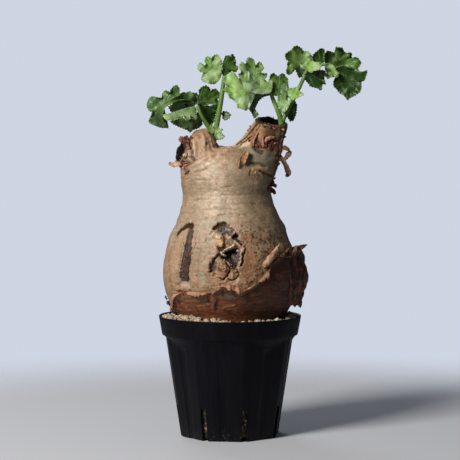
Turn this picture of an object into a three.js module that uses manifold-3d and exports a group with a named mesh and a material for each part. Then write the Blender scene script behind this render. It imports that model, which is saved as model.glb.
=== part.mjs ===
// A potted Cyphostemma uter: a swollen tan trunk with two stub arms, its papery
// bark peeling in a skirt round the foot, two tufts of crinkled leaves, a top
// dressing of pale pumice and a black slit pot. Millimetres, +Z up. The origin
// is the middle of the pot's underside and the front of the plant faces -Y.
// A bearing is measured in degrees round +Z from the front towards +X.

import * as THREE from "three";
import { mergeVertices } from "three/addons/utils/BufferGeometryUtils.js";
import Module from "manifold-3d";

// Gap between pieces that touch on the real plant
const GAP = 0.35;

// Pot: a 12 cm nursery pot, eight-sided below a plain round band
const POT = {
  height: 101,
  rimRadius: 60,
  bandBottom: 85.3,
  bandLowRadius: 57.2,
  wall: 1.6,
  floor: 1.8,
  sides: 8,
  firstCorner: 16,
  cornerLowRadius: 42,
  cornerHighRadius: 55,
  cornerTop: 84,
  chamferHalf: 4,
  recessHalf: 5.6,
  recessDepth: 0.6,
  recessTop: 75.6,
  shoulderSlope: 0.7,
  slitWidth: 4.5,
  slitTop: 27,
  slitUnder: 9,
};

// Soil: pumice, its surface a little above the rim where it meets the trunk
const SOIL = {
  rimLevel: 99.3,
  trunkLevel: 101.2,
  grain: 1.3,
  rings: 4,
  wallGap: 0.55,
  shoulderGap: 0.95,
};

// Trunk outline, from the buried root up to the dome between the arms:
// [height, radius across X, middle in X]
const TRUNK_OUTLINE = [
  [62, 20, 0],
  [70, 32, 0],
  [80, 38.5, 0.5],
  [90, 42, 0.9],
  [101, 44.2, 0.9],
  [109, 49.7, 0.2],
  [115, 52.2, 0],
  [122, 54.5, 0],
  [130.5, 56, 0],
  [139, 56.1, 0],
  [147, 55.1, 0],
  [156, 53.8, 0],
  [164, 51, -1],
  [173, 47.9, -0.8],
  [181, 44.1, -0.5],
  [189.5, 40.5, -1],
  [198, 37.6, -2],
  [204, 37, -2.9],
  [210.5, 38, -3],
  [219, 38.8, -3.1],
  [227, 37.4, -3.1],
  [233.5, 34, -3],
  [238.5, 28, -3],
  [241.5, 20, -3],
];
const TRUNK_TOP = 243.2;
const TRUNK_DEPTH_SHARE = 0.94;
const TRUNK_FACETS = 38;

// Arms: x, y, z, radius, and the depth of the section as a share of its
// width. The right one is sawn off. The left one is torn off at its side and
// ends in a rounded knob.
const RIGHT_ARM = {
  path: [
    [14, 0, 208, 17.5, 1.7],
    [20, 0, 224, 19, 1.5],
    [26, 0, 239, 17.2, 1.25],
    [31, 0.5, 251, 14.6, 1.08],
    [35.5, 1, 264, 13.4, 1],
  ],
  cutNormal: [0.16, -0.25, 0.95],
};
const LEFT_STUB = {
  path: [
    [-20, 0, 224, 15, 1.5],
    [-31, -1.5, 232.5, 12.4, 1.2],
    [-41.5, -4, 239.5, 10.2, 1],
  ],
  cutNormal: [-0.88, -0.36, 0.3],
};
const CUT_HOLLOW = 1.2;
const KNOB = {
  path: [
    [-14, -1, 213, 20, 1.6],
    [-18, -2, 227, 18, 1.5],
    [-21.6, -2.5, 238, 14.6, 1.35],
    [-23.2, -2.5, 246, 12.2, 1.15],
    [-23.6, -2.5, 252, 10, 1.05],
    [-23.8, -2.5, 255.6, 6.6, 1],
  ],
  top: 257.3,
};
const ARM_FACETS = 18;

// Wounds in the skin: [bearing, height, half width, half height, depth]
const WOUNDS = [
  [-42, 152, 4.6, 25, 1.5],
  [-2, 155, 11.5, 26, 4],
];
const ARM_WOUND = { centre: [21.5, -17, 245], radii: [5.5, 2.2, 7] };

// Bark skirt: bearing and height of its ragged upper edge
const BARK_EDGE = [
  [-180, 131],
  [-160, 128],
  [-140, 134],
  [-118, 127],
  [-98, 119],
  [-80, 113],
  [-61, 120],
  [-43, 125.5],
  [-34, 123],
  [-17, 124],
  [-12, 121],
  [-7, 130],
  [0, 130.5],
  [9, 125],
  [17, 130],
  [24, 133],
  [31, 143],
  [40, 153],
  [54, 155.5],
  [68, 158.5],
  [84, 161],
  [98, 158],
  [116, 146],
  [134, 150],
  [156, 139],
  [180, 131],
];
const BARK = {
  bottom: 95,
  soilLine: 102.6,
  thickness: 0.8,
  wrinkle: 0.35,
  curl: 1.8,
  flapBearing: 90,
  flapHalf: 27,
  flapProud: 8,
  flapFoot: 106,
  clearance: 0.5,
  facets: 64,
  steps: 6,
};
// Rolled strip that stands up from the skirt's edge: x, y, z, half width
const BARK_TONGUE = [
  [26.5, -49.5, 138, 2.6],
  [30.5, -47.8, 145.5, 2.4],
  [35.5, -43.6, 153.5, 2],
  [40.5, -38.5, 161.5, 1],
];

// Loose bark higher up. A ribbon's points are x, y, z, half width, and it
// starts inside the trunk, where it is cut back to the skin.
const RIBBONS = {
  bark_strip_right_upper: {
    across: [0, 1, 0.25],
    points: [
      [38, -7, 239, 2.2],
      [44.5, -9, 241.5, 2.4],
      [50, -10, 239.5, 2],
      [49, -10, 235, 1.8],
      [45.5, -9.5, 230.5, 1.2],
    ],
  },
  bark_strip_right_lower: {
    across: [0.2, 1, 0.2],
    points: [
      [36, -9, 230, 2],
      [42.5, -11, 231, 2.2],
      [45.5, -11.5, 226, 2.2],
      [49.5, -11.5, 219.5, 1.8],
      [46, -11.5, 219, 1.2],
    ],
  },
  bark_flap_neck: {
    across: [0, 1, 0.1],
    points: [
      [30, -8, 211, 4],
      [37.2, -9, 211.5, 4],
      [38.6, -9, 208, 3.6],
      [36.8, -9, 204.5, 2.4],
    ],
  },
  bark_curl_left: {
    across: [0.1, 1, 0.3],
    points: [
      [-34, -6, 231, 3.4],
      [-43.5, -8, 227.5, 3.2],
      [-48.5, -8.5, 226.5, 2.8],
      [-51, -8.5, 229, 1.8],
    ],
  },
  bark_curl_shoulder: {
    across: [0.9, 0.2, -0.35],
    points: [
      [9.5, -24, 234, 4.2],
      [10.5, -32.5, 233.5, 4],
      [11, -34, 230, 3.6],
      [11, -32, 227, 2.6],
    ],
  },
};
const RIBBON_THICKNESS = 1;

// Green shoots. A stem's points are x, y, z, radius. A leaflet is bent over
// its root, crest and tip, its upper side looks along face, cup is how far its
// edges rise for its half width, and its edges have waves of a height, wave.
const STEM_SIDES = 8;
const SHOOT_LEFT = {
  stems: [
    [
      [-15, 3, 240.6, 2.2],
      [-13.5, 3, 248.5, 2.25],
      [-12, 2, 256.5, 2.2],
      [-9, 1, 273.5, 2],
      [-6, 1, 292.5, 1.8],
      [-4, 1, 301, 1.5],
    ],
    [
      [-12.6, 2.4, 253, 1.9],
      [-19, 2, 260.5, 2.1],
      [-24.5, 0, 268.5, 1.9],
      [-28, -1, 278.5, 1.5],
    ],
  ],
  leaflets: [
    { root: [-27.5, -1, 277], crest: [-56, -8, 285], tip: [-59, -10, 259],
      face: [-0.4, -0.7, 0.7], width: 19, cup: -0.1, waves: 3, wave: 2.2, phase: 0.4 },
    { root: [-27.5, -2, 276.5], crest: [-41, -17, 272.5], tip: [-56, -26, 268],
      face: [0, -0.5, 0.9], width: 19, cup: -0.25, waves: 3, wave: 1.6, phase: 2 },
    { root: [-27.2, -2, 275.5], crest: [-33, -12, 266.5], tip: [-39.5, -19, 256],
      face: [-0.3, -0.8, 0.5], width: 19, cup: 0.1, waves: 2.5, wave: 1.8, phase: 1 },
    { root: [-27, 0, 277], crest: [-19.5, 10, 274], tip: [-18.5, 16, 261],
      face: [0.5, -0.7, 0.4], width: 16, cup: 0.1, waves: 2.5, wave: 1.6, phase: 3 },
    { root: [-27, 1, 278], crest: [-20, 10, 287], tip: [-11, 18, 290],
      face: [-0.2, -0.75, 0.6], width: 15, cup: 0.15, waves: 3, wave: 2, phase: 5 },
    { root: [-27.4, 1.5, 278], crest: [-34.5, 8, 284.5], tip: [-39, 14, 292.5],
      face: [0.1, -0.85, 0.4], width: 14, cup: 0.15, waves: 2.5, wave: 1.6, phase: 0 },
    { root: [-4.6, 0, 300], crest: [-16, -5, 305.5], tip: [-27, -9, 308.5],
      face: [0.05, -0.97, 0.2], width: 25, cup: 0.12, waves: 3, wave: 1.6, phase: 2.2 },
    { root: [-4, 2, 300], crest: [-1.5, 7, 309.5], tip: [1, 10, 320.5],
      face: [0.35, -0.85, 0.3], width: 15, cup: 0.2, waves: 3, wave: 2, phase: 0.5 },
    { root: [-3.6, 2, 299.5], crest: [2, 11, 305], tip: [7.5, 19, 309.5],
      face: [0.2, -0.7, 0.65], width: 14, cup: 0.2, waves: 2.5, wave: 1.6, phase: 4 },
    { root: [-9.4, 1.2, 271], crest: [-5.5, 5, 271], tip: [-1, 7, 267.5],
      face: [0.2, -0.9, 0.4], width: 7, cup: 0.2, waves: 1.5, wave: 0.6, phase: 1 },
  ],
};
const SHOOT_RIGHT = {
  stems: [
    [
      [43.2, 1, 255, 2.1],
      [43, 1, 265, 2.3],
      [41, 0, 271, 2],
      [36, -1, 281, 1.7],
      [31.8, -2.2, 290.5, 1.4],
    ],
    [
      [43.2, 1, 262, 1.9],
      [47, 1, 272, 1.9],
      [53, 2, 281, 1.8],
      [59, 3, 292, 1.7],
      [64.5, 2, 307.5, 1.5],
    ],
    [
      [64, 2, 305.5, 1.3],
      [73, 4, 309.5, 1.4],
      [82, 5, 310.5, 1.3],
    ],
  ],
  leaflets: [
    { root: [32, -3, 290], crest: [13, -17, 289], tip: [-6.5, -22, 289.5],
      face: [0.05, -0.85, 0.5], width: 30, cup: -0.12, waves: 3, wave: 2.2, phase: 1 },
    { root: [31.8, -2, 290.5], crest: [21, -3, 302.5], tip: [12, -1, 316],
      face: [0.45, -0.8, 0.35], width: 23, cup: 0.2, waves: 3, wave: 2.2, phase: 0 },
    { root: [31.6, -3.5, 289.5], crest: [20.5, -12, 281.5], tip: [22.5, -14, 266],
      face: [0.2, -0.9, 0.3], width: 9, cup: -0.2, waves: 2.5, wave: 1.4, phase: 3.5 },
    { root: [32.2, -1.4, 290], crest: [39, 4, 294], tip: [43, 8, 304.5],
      face: [0.3, -0.85, 0.4], width: 17, cup: 0.15, waves: 3, wave: 1.8, phase: 2 },
    { root: [42.3, 0, 269], crest: [42.5, -6, 278], tip: [40, -9, 287],
      face: [0.3, -0.9, 0.2], width: 8, cup: 0.3, waves: 2, wave: 0.7, phase: 0 },
    { root: [44, 0, 268.5], crest: [49, -6, 277.5], tip: [51, -9, 286],
      face: [-0.2, -0.95, 0.2], width: 8, cup: 0.3, waves: 2, wave: 0.7, phase: 2 },
    { root: [50, 1.8, 277], crest: [53.5, 4, 270], tip: [51.5, 5, 261],
      face: [0.2, -0.97, 0], width: 9, cup: 0.2, waves: 1.5, wave: 0.8, phase: 1 },
    { root: [57.8, 2.6, 290], crest: [55, -4, 290], tip: [48.5, -8, 285],
      face: [0.1, -0.8, 0.6], width: 12, cup: 0.15, waves: 2, wave: 1, phase: 3 },
    { root: [64, 1.4, 306.5], crest: [54.5, -5, 311], tip: [53.5, -8, 325.5],
      face: [0.2, -0.95, 0.1], width: 17, cup: 0.15, waves: 3, wave: 1.8, phase: 1 },
    { root: [64.3, 3, 306.5], crest: [64.5, 7, 314.5], tip: [65.5, 9, 323],
      face: [-0.2, -0.9, 0.3], width: 10, cup: 0.2, waves: 2, wave: 1.2, phase: 5 },
    { root: [64.6, 0.8, 306.5], crest: [69, -9, 310.5], tip: [78, -15, 312],
      face: [-0.15, -0.6, 0.8], width: 15, cup: 0.15, waves: 2.5, wave: 1.4, phase: 0 },
    { root: [64.6, 1.2, 306.5], crest: [72.5, -2, 301], tip: [75.5, -4, 290],
      face: [0.1, -0.97, 0.2], width: 16, cup: 0.15, waves: 2.5, wave: 1.8, phase: 4 },
    { root: [64.6, 2.8, 307.5], crest: [71, 8, 315], tip: [77.5, 12, 324],
      face: [0.3, -0.8, 0.5], width: 14, cup: 0.2, waves: 3, wave: 1.8, phase: 2 },
    { root: [80.5, 5, 310], crest: [90, 7, 315], tip: [96.5, 8, 326],
      face: [0.1, -0.95, 0.25], width: 24, cup: 0.15, waves: 3.5, wave: 2.2, phase: 0 },
    { root: [81, 4.8, 310.2], crest: [99.5, 2, 312.5], tip: [114.5, -2, 306.5],
      face: [0, -0.9, 0.45], width: 21, cup: 0.2, waves: 3, wave: 1.8, phase: 1.5 },
    { root: [80.8, 4.6, 309.8], crest: [95.5, 0, 299.5], tip: [99.5, -4, 281.5],
      face: [0.1, -0.97, 0.2], width: 23, cup: 0.15, waves: 3, wave: 2, phase: 3 },
  ],
};
const LEAF_THICKNESS = 0.8;
const LEAF_STEPS = 8;
const LEAF_ACROSS = 4;
const LEAF_NOTCH = 0.86;
const LEAF_BLUNTNESS = 0.6;
const LEAF_SHOULDER = 0.85;
const LEAF_STALK = 1.1;
const SOCKET_CLEARANCE = 0.35;
const SOCKETS = [
  { foot: [-15.15, 3, 239.8], mouth: [-11.85, 3, 258], radius: 2.25 },
  { foot: [43.2, 1, 254.3], mouth: [43, 1, 268], radius: 2.3 },
];

const COLOURS = {
  pot: { color: 0x17191f, roughness: 0.55 },
  soil: { color: 0xd3bf9f, roughness: 0.95 },
  skin: { color: 0xbfa689, roughness: 0.7 },
  bark: { color: 0x6e4634, roughness: 0.85 },
  leaf: { color: 0x5f8a3c, roughness: 0.5 },
};

const wasm = await Module();
wasm.setup();

const vec = (p) => new THREE.Vector3(p[0], p[1], p[2]);
const radians = THREE.MathUtils.degToRad;
const mix = THREE.MathUtils.lerp;

// A closed geometry as a solid that can be joined and cut
function solidOf(geometry) {
  const bare = geometry.clone();
  bare.deleteAttribute("normal");
  bare.deleteAttribute("uv");
  const merged = mergeVertices(bare, 1e-4);
  return new wasm.Manifold(
    new wasm.Mesh({
      numProp: 3,
      vertProperties: new Float32Array(merged.attributes.position.array),
      triVerts: new Uint32Array(merged.index.array),
    }),
  );
}

function geometryOf(solid) {
  const made = solid.getMesh();
  const geometry = new THREE.BufferGeometry();
  geometry.setAttribute("position", new THREE.BufferAttribute(made.vertProperties, 3));
  geometry.setIndex(new THREE.BufferAttribute(made.triVerts, 1));
  geometry.computeVertexNormals();
  return geometry;
}

function joined(solids) {
  return solids.reduce((all, one) => all.add(one));
}

// A skin over rings of points. Each ring runs anticlockwise seen from the way
// the rings follow each other. Both ends are closed with a fan, or the last
// ring joins the first when the skin is a hoop.
function skin(rings, hoop = false) {
  const count = rings[0].length;
  const points = rings.flat();
  const index = [];
  const last = rings.length - 1;
  for (let i = 0; i < (hoop ? rings.length : last); i++) {
    const low = i * count;
    const high = ((i + 1) % rings.length) * count;
    for (let j = 0; j < count; j++) {
      const next = (j + 1) % count;
      index.push(low + j, low + next, high + next, low + j, high + next, high + j);
    }
  }
  if (!hoop) {
    const middle = (ring) =>
      ring.reduce((sum, p) => sum.add(p), new THREE.Vector3()).divideScalar(count);
    const foot = points.length;
    points.push(middle(rings[0]), middle(rings[last]));
    for (let j = 0; j < count; j++) {
      const next = (j + 1) % count;
      index.push(foot, next, j, foot + 1, last * count + j, last * count + next);
    }
  }
  const geometry = new THREE.BufferGeometry().setFromPoints(points);
  geometry.setIndex(index);
  return geometry;
}

// A point at a bearing, a radius and a height
function atBearing(bearing, radius, height) {
  const angle = radians(bearing);
  return new THREE.Vector3(radius * Math.sin(angle), -radius * Math.cos(angle), height);
}

// A value read off a list of [key, value, ...] rows by straight lines
function readOff(rows, key, column = 1) {
  if (key <= rows[0][0]) return rows[0][column];
  for (let i = 1; i < rows.length; i++) {
    if (key <= rows[i][0]) {
      const share = (key - rows[i - 1][0]) / (rows[i][0] - rows[i - 1][0]);
      return mix(rows[i - 1][column], rows[i][column], share);
    }
  }
  return rows[rows.length - 1][column];
}

// The same numbers on every run, from 0 to 1
function seededNumbers(seed) {
  let state = seed;
  return () => {
    state = (state + 0x6d2b79f5) | 0;
    let t = Math.imul(state ^ (state >>> 15), 1 | state);
    t = (t + Math.imul(t ^ (t >>> 7), 61 | t)) ^ t;
    return ((t ^ (t >>> 14)) >>> 0) / 4294967296;
  };
}

// Pot: the radius of its outside below the band. The eight flat sides meet in
// narrow chamfers and run out under the band on a steep cone.
const SECTOR = 360 / POT.sides;

function potSideRadius(bearing, height) {
  const corner = mix(POT.cornerLowRadius, POT.cornerHighRadius, height / POT.cornerTop);
  const turned = THREE.MathUtils.euclideanModulo(bearing - POT.firstCorner, SECTOR);
  const inChamfer = Math.min(turned, SECTOR - turned) <= POT.chamferHalf;
  const half = inChamfer ? POT.chamferHalf : SECTOR / 2 - POT.chamferHalf;
  const off = inChamfer ? Math.min(turned, SECTOR - turned) : turned - SECTOR / 2;
  const flat = (corner * Math.cos(radians(half))) / Math.cos(radians(off));
  const cone = POT.cornerHighRadius + (height - POT.cornerTop) * POT.shoulderSlope;
  return Math.max(flat, cone);
}

// Bearings of the points on every ring of the pot, from the edges of its
// chamfers and recesses. The soil's rings have more between them.
function potBearings(extra = []) {
  const middle = SECTOR / 2;
  const edge = 0.15;
  const steps = [
    -POT.chamferHalf,
    POT.chamferHalf,
    middle - POT.recessHalf - edge,
    middle - POT.recessHalf + edge,
    middle + POT.recessHalf - edge,
    middle + POT.recessHalf + edge,
    ...extra,
  ].sort((a, b) => a - b);
  const bearings = [];
  for (let side = 0; side < POT.sides; side++) {
    steps.forEach((step) => bearings.push(POT.firstCorner + side * SECTOR + step));
  }
  return bearings;
}

function isInRecess(bearing) {
  const turned = THREE.MathUtils.euclideanModulo(bearing - POT.firstCorner, SECTOR);
  return Math.abs(turned - SECTOR / 2) < POT.recessHalf;
}

const POT_LEVELS = [78, 81, 84];

function makePot() {
  const bearings = potBearings();
  const ring = (height, radius) => bearings.map((b) => atBearing(b, radius(b), height));
  const plain = (height) => (b) => potSideRadius(b, height);
  const recessed = (height) => (b) =>
    potSideRadius(b, height) - (isInRecess(b) ? POT.recessDepth : 0);
  const inner = (height) => (b) => potSideRadius(b, height) - POT.wall;
  const round = (radius) => () => radius;
  const lip = 0.7;
  const rings = [
    ring(0, (b) => recessed(0)(b) - lip),
    ring(lip, recessed(lip)),
    ring(POT.recessTop, recessed(POT.recessTop)),
    ring(POT.recessTop + lip, plain(POT.recessTop + lip)),
    ...POT_LEVELS.map((z) => ring(z, plain(z))),
    ring(POT.bandBottom - 0.3, plain(POT.bandBottom - 0.3)),
    ring(POT.bandBottom, round(POT.bandLowRadius)),
    ring(POT.height - lip, round(POT.rimRadius)),
    ring(POT.height, round(POT.rimRadius - lip / 2)),
    ring(POT.height, round(POT.rimRadius - POT.wall + lip / 2)),
    ring(POT.height - lip, round(POT.rimRadius - POT.wall)),
    ring(POT.bandBottom + POT.wall, round(POT.bandLowRadius - POT.wall)),
    ...POT_LEVELS.toReversed().map((z) => ring(z, inner(z))),
    ring(POT.floor, inner(POT.floor)),
  ];
  let pot = solidOf(skin(rings));
  const reach = 30;
  for (let side = 0; side < POT.sides; side++) {
    const inside = POT.cornerLowRadius - POT.slitUnder;
    const slit = new THREE.BoxGeometry(POT.slitWidth, reach, POT.slitTop + 2);
    slit.translate(0, -(inside + reach / 2), (POT.slitTop - 2) / 2);
    slit.rotateZ(radians(POT.firstCorner + side * SECTOR));
    pot = pot.subtract(solidOf(slit));
  }
  return pot;
}

// Trunk: an oval section at a height, grown outwards by a distance
function trunkPoint(bearing, height, grown) {
  const radius = readOff(TRUNK_OUTLINE, height, 1) + grown;
  const middle = readOff(TRUNK_OUTLINE, height, 2);
  const angle = radians(bearing);
  return new THREE.Vector3(
    middle + radius * Math.sin(angle),
    -(radius * TRUNK_DEPTH_SHARE + (1 - TRUNK_DEPTH_SHARE) * grown) * Math.cos(angle),
    height,
  );
}

function trunkRing(height, grown, bearings) {
  return bearings.map((b) => trunkPoint(b, height, grown));
}

function evenBearings(count) {
  return Array.from({ length: count }, (_, i) => (i * 360) / count);
}

// A limb with a round section along a path of x, y, z, radius. Its end is cut
// by a plane, where the pith is a little sunk.
function limb({ path, cutNormal }, grown) {
  const rings = [];
  const last = path.length - 1;
  path.forEach((row, i) => {
    const ahead = vec(path[Math.min(i + 1, last)]);
    const behind = vec(path[Math.max(i - 1, 0)]);
    const along = ahead.sub(behind).normalize();
    const normal = i === last ? vec(cutNormal).normalize() : along;
    const centre = vec(row).addScaledVector(normal, i === last ? grown : 0);
    rings.push(limbRing(centre, normal, row[3] + grown, row[4]));
  });
  const end = vec(path[last]);
  const normal = vec(cutNormal).normalize();
  const sunk = end.addScaledVector(normal, grown - CUT_HOLLOW);
  rings.push(limbRing(sunk, normal, path[last][3] * 0.72 + grown));
  return solidOf(skin(rings));
}

function knob(grown) {
  const up = new THREE.Vector3(0, 0, 1);
  const rings = KNOB.path.map((row) => limbRing(vec(row), up, row[3] + grown, row[4]));
  const [x, y] = KNOB.path[KNOB.path.length - 1];
  const crown = new THREE.Vector3(x, y, KNOB.top + grown);
  rings.push(limbRing(crown, up, 2));
  return solidOf(skin(rings));
}

// A ring of points round a centre in the plane across a normal
function limbRing(centre, normal, radius, depthShare = 1, facets = ARM_FACETS) {
  const right = new THREE.Vector3(0, 1, 0).cross(normal).normalize();
  const back = normal.clone().cross(right);
  return evenBearings(facets).map((degrees) => {
    const angle = radians(degrees);
    return centre
      .clone()
      .addScaledVector(right, radius * Math.cos(angle))
      .addScaledVector(back, radius * depthShare * Math.sin(angle));
  });
}

function ellipsoid(centre, radii, bearing = 0) {
  const ball = new THREE.SphereGeometry(1, 16, 10);
  ball.scale(...radii);
  ball.rotateZ(radians(bearing));
  ball.translate(...centre);
  return solidOf(ball);
}

function trunkSolid(grown) {
  const bearings = evenBearings(TRUNK_FACETS);
  const heights = TRUNK_OUTLINE.map((row) => row[0]);
  const rings = heights.map((z, i) => {
    const ring = trunkRing(z, grown, bearings);
    const shift = i === 0 ? -grown : i === heights.length - 1 ? grown : 0;
    return ring.map((p) => p.setZ(p.z + shift));
  });
  const topRow = TRUNK_OUTLINE[TRUNK_OUTLINE.length - 1];
  const top = trunkRing(topRow[0], 0, bearings).map((p) => {
    p.x = mix(topRow[2], p.x, 0.3);
    p.y *= 0.3;
    p.z = TRUNK_TOP + grown;
    return p;
  });
  return joined([
    solidOf(skin([...rings, top])),
    limb(RIGHT_ARM, grown),
    limb(LEFT_STUB, grown),
    knob(grown),
  ]);
}

function rod(foot, mouth, radius) {
  const along = vec(mouth).sub(vec(foot)).normalize();
  const rings = [vec(foot), vec(mouth)].map((centre) => limbRing(centre, along, radius));
  return solidOf(skin(rings));
}

function makeTrunk() {
  let trunk = trunkSolid(0);
  WOUNDS.forEach(([bearing, height, halfWidth, halfHeight, depth]) => {
    const centre = trunkPoint(bearing, height, 0);
    const radii = [halfWidth, depth, halfHeight];
    trunk = trunk.subtract(ellipsoid(centre.toArray(), radii, bearing));
  });
  trunk = trunk.subtract(ellipsoid(ARM_WOUND.centre, ARM_WOUND.radii, 20));
  SOCKETS.forEach(({ foot, mouth, radius }) => {
    trunk = trunk.subtract(rod(foot, mouth, radius + SOCKET_CLEARANCE));
  });
  return trunk;
}

// Soil: it fills the pot and has a hole of the trunk's own shape. Its surface
// is grains, each a point of the rings lifted or sunk at random.
function makeSoil() {
  const bearings = potBearings([SECTOR * 0.23, SECTOR * 0.77]);
  const random = seededNumbers(7);
  const wallRing = (height, gap) =>
    bearings.map((b) => atBearing(b, potSideRadius(b, height) - POT.wall - gap, height));
  const roundRing = (radius, height) => bearings.map((b) => atBearing(b, radius, height));
  const bandInside = POT.bandLowRadius - POT.wall - SOIL.wallGap;
  const rimInside = POT.rimRadius - POT.wall - SOIL.wallGap;
  const edgeLevel = SOIL.rimLevel - 2;
  const edgeShare = (edgeLevel - POT.bandBottom) / (POT.height - POT.bandBottom);
  const edgeRadius = mix(bandInside, rimInside, edgeShare);
  const skirtGap = BARK.clearance + BARK.thickness + BARK.wrinkle * 2 + GAP;
  const hole = (height, clearance) => trunkRing(height, clearance, bearings);
  const rings = [
    wallRing(POT.floor + GAP, SOIL.wallGap),
    ...POT_LEVELS.map((z) => wallRing(z, SOIL.shoulderGap)),
    roundRing(bandInside, POT.bandBottom + POT.wall),
    roundRing(edgeRadius, edgeLevel),
  ];
  for (let k = 0; k <= SOIL.rings; k++) {
    const share = k / SOIL.rings;
    const level = mix(SOIL.rimLevel, SOIL.trunkLevel, share);
    const trunkSide = hole(SOIL.trunkLevel + SOIL.grain, skirtGap);
    rings.push(
      bearings.map((b, j) => {
        const outer = atBearing(b, edgeRadius - 0.8, level);
        const point = outer.lerp(trunkSide[j], share);
        const lift = (k + j) % 2 ? SOIL.grain : -SOIL.grain;
        return point.setZ(level + lift * mix(0.35, 1, random()));
      }),
    );
  }
  rings.push(
    hole(BARK.bottom - GAP, skirtGap),
    hole(BARK.bottom - 2 * GAP, GAP),
    hole(90, GAP),
    hole(80, GAP),
    hole(70, GAP),
    hole(62, GAP).map((p) => p.setZ(p.z - GAP)),
  );
  return solidOf(skin(rings));
}

// Bark skirt: a thin shell round the foot of the trunk. It curls away at its
// ragged upper edge and stands off as a flap on the right.
function barkProud(bearing, height, rise) {
  const turned = THREE.MathUtils.euclideanModulo(bearing - BARK.flapBearing + 180, 360);
  const off = Math.abs(turned - 180);
  const side = THREE.MathUtils.smoothstep(BARK.flapHalf - off, 0, BARK.flapHalf * 0.8);
  const foot = THREE.MathUtils.smoothstep(height, BARK.flapFoot, BARK.flapFoot + 7);
  return BARK.curl * rise ** 3 + BARK.flapProud * side * foot;
}

function makeBarkSkirt() {
  const bearings = evenBearings(BARK.facets).map((b) => (b > 180 ? b - 360 : b));
  const random = seededNumbers(21);
  const ragged = bearings.map(() => (random() - 0.5) * 3.4);
  const shell = (step, extra) =>
    bearings.map((b, j) => {
      const edge = readOff(BARK_EDGE, b) + ragged[j];
      const rise = Math.max(0, (step - 1) / (BARK.steps - 1));
      const height = step === 0 ? BARK.bottom : mix(BARK.soilLine, edge, rise);
      const wrinkle = BARK.wrinkle * (1 + Math.sin(height * 1.1 + 0.35 * j));
      const proud = step === 0 ? 0 : wrinkle + barkProud(b, height, rise);
      return trunkPoint(b, height, BARK.clearance + proud + extra);
    });
  const steps = Array.from({ length: BARK.steps + 1 }, (_, k) => k);
  const outside = steps.map((k) => shell(k, BARK.thickness));
  const inside = steps.toReversed().map((k) => shell(k, 0));
  const skirt = solidOf(skin([...outside, ...inside], true));
  const tongue = ribbon(BARK_TONGUE, [0.75, 0.5, -0.2], 1.6);
  return skirt.add(tongue.subtract(trunkSolid(GAP)));
}

// A flat strip with a four-sided section along a path of x, y, z, half width
function ribbon(points, across, thickness) {
  const last = points.length - 1;
  const rings = points.map((row, i) => {
    const ahead = vec(points[Math.min(i + 1, last)]);
    const behind = vec(points[Math.max(i - 1, 0)]);
    const along = ahead.sub(behind).normalize();
    const flat = vec(across).cross(along).normalize();
    const wide = along.clone().cross(flat).normalize();
    const corner = (w, t) =>
      vec(row).addScaledVector(wide, w * row[3]).addScaledVector(flat, (t * thickness) / 2);
    return [corner(-1, -1), corner(1, -1), corner(1, 1), corner(-1, 1)];
  });
  const made = solidOf(skin(rings));
  return made.volume() > 0 ? made : solidOf(skin(rings.map((r) => r.toReversed())));
}

// Leaflet: a blade on a bent midrib through its root, its crest and its tip.
// It is widest past the middle, notched along both edges, cupped across and
// waved more and more towards the edges. Both faces have the same triangles.
function leaflet({ root, crest, tip, face, width, cup, waves, wave, phase }) {
  const from = vec(root);
  const to = vec(tip);
  const control = vec(crest).multiplyScalar(2).addScaledVector(from, -0.5).addScaledVector(to, -0.5);
  const rib = new THREE.QuadraticBezierCurve3(from, control, to);
  const grid = [];
  for (let i = 0; i <= LEAF_STEPS; i++) {
    const u = i / LEAF_STEPS;
    const along = rib.getTangent(u);
    const side = along.clone().cross(vec(face)).normalize();
    const normal = side.clone().cross(along);
    const full = Math.sin(Math.PI * u ** LEAF_SHOULDER) ** LEAF_BLUNTNESS;
    const half = Math.max(LEAF_STALK, (width / 2) * full);
    const notch = i % 2 ? 1 : LEAF_NOTCH;
    for (let j = 0; j <= LEAF_ACROSS; j++) {
      const v = (2 * j) / LEAF_ACROSS - 1;
      const reach = half * v * (Math.abs(v) === 1 ? notch : 1);
      const turn = 2 * Math.PI * waves * u + phase + (v > 0 ? 1.9 : 0);
      const fade = Math.sin(Math.PI * Math.min(1, u * 1.15 + 0.02));
      const lift = cup * half * v * v + wave * v * v * fade * Math.sin(turn);
      grid.push(rib.getPoint(u).addScaledVector(side, reach).addScaledVector(normal, lift));
    }
  }
  return bladeOf(grid, LEAF_STEPS, LEAF_ACROSS);
}

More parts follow.
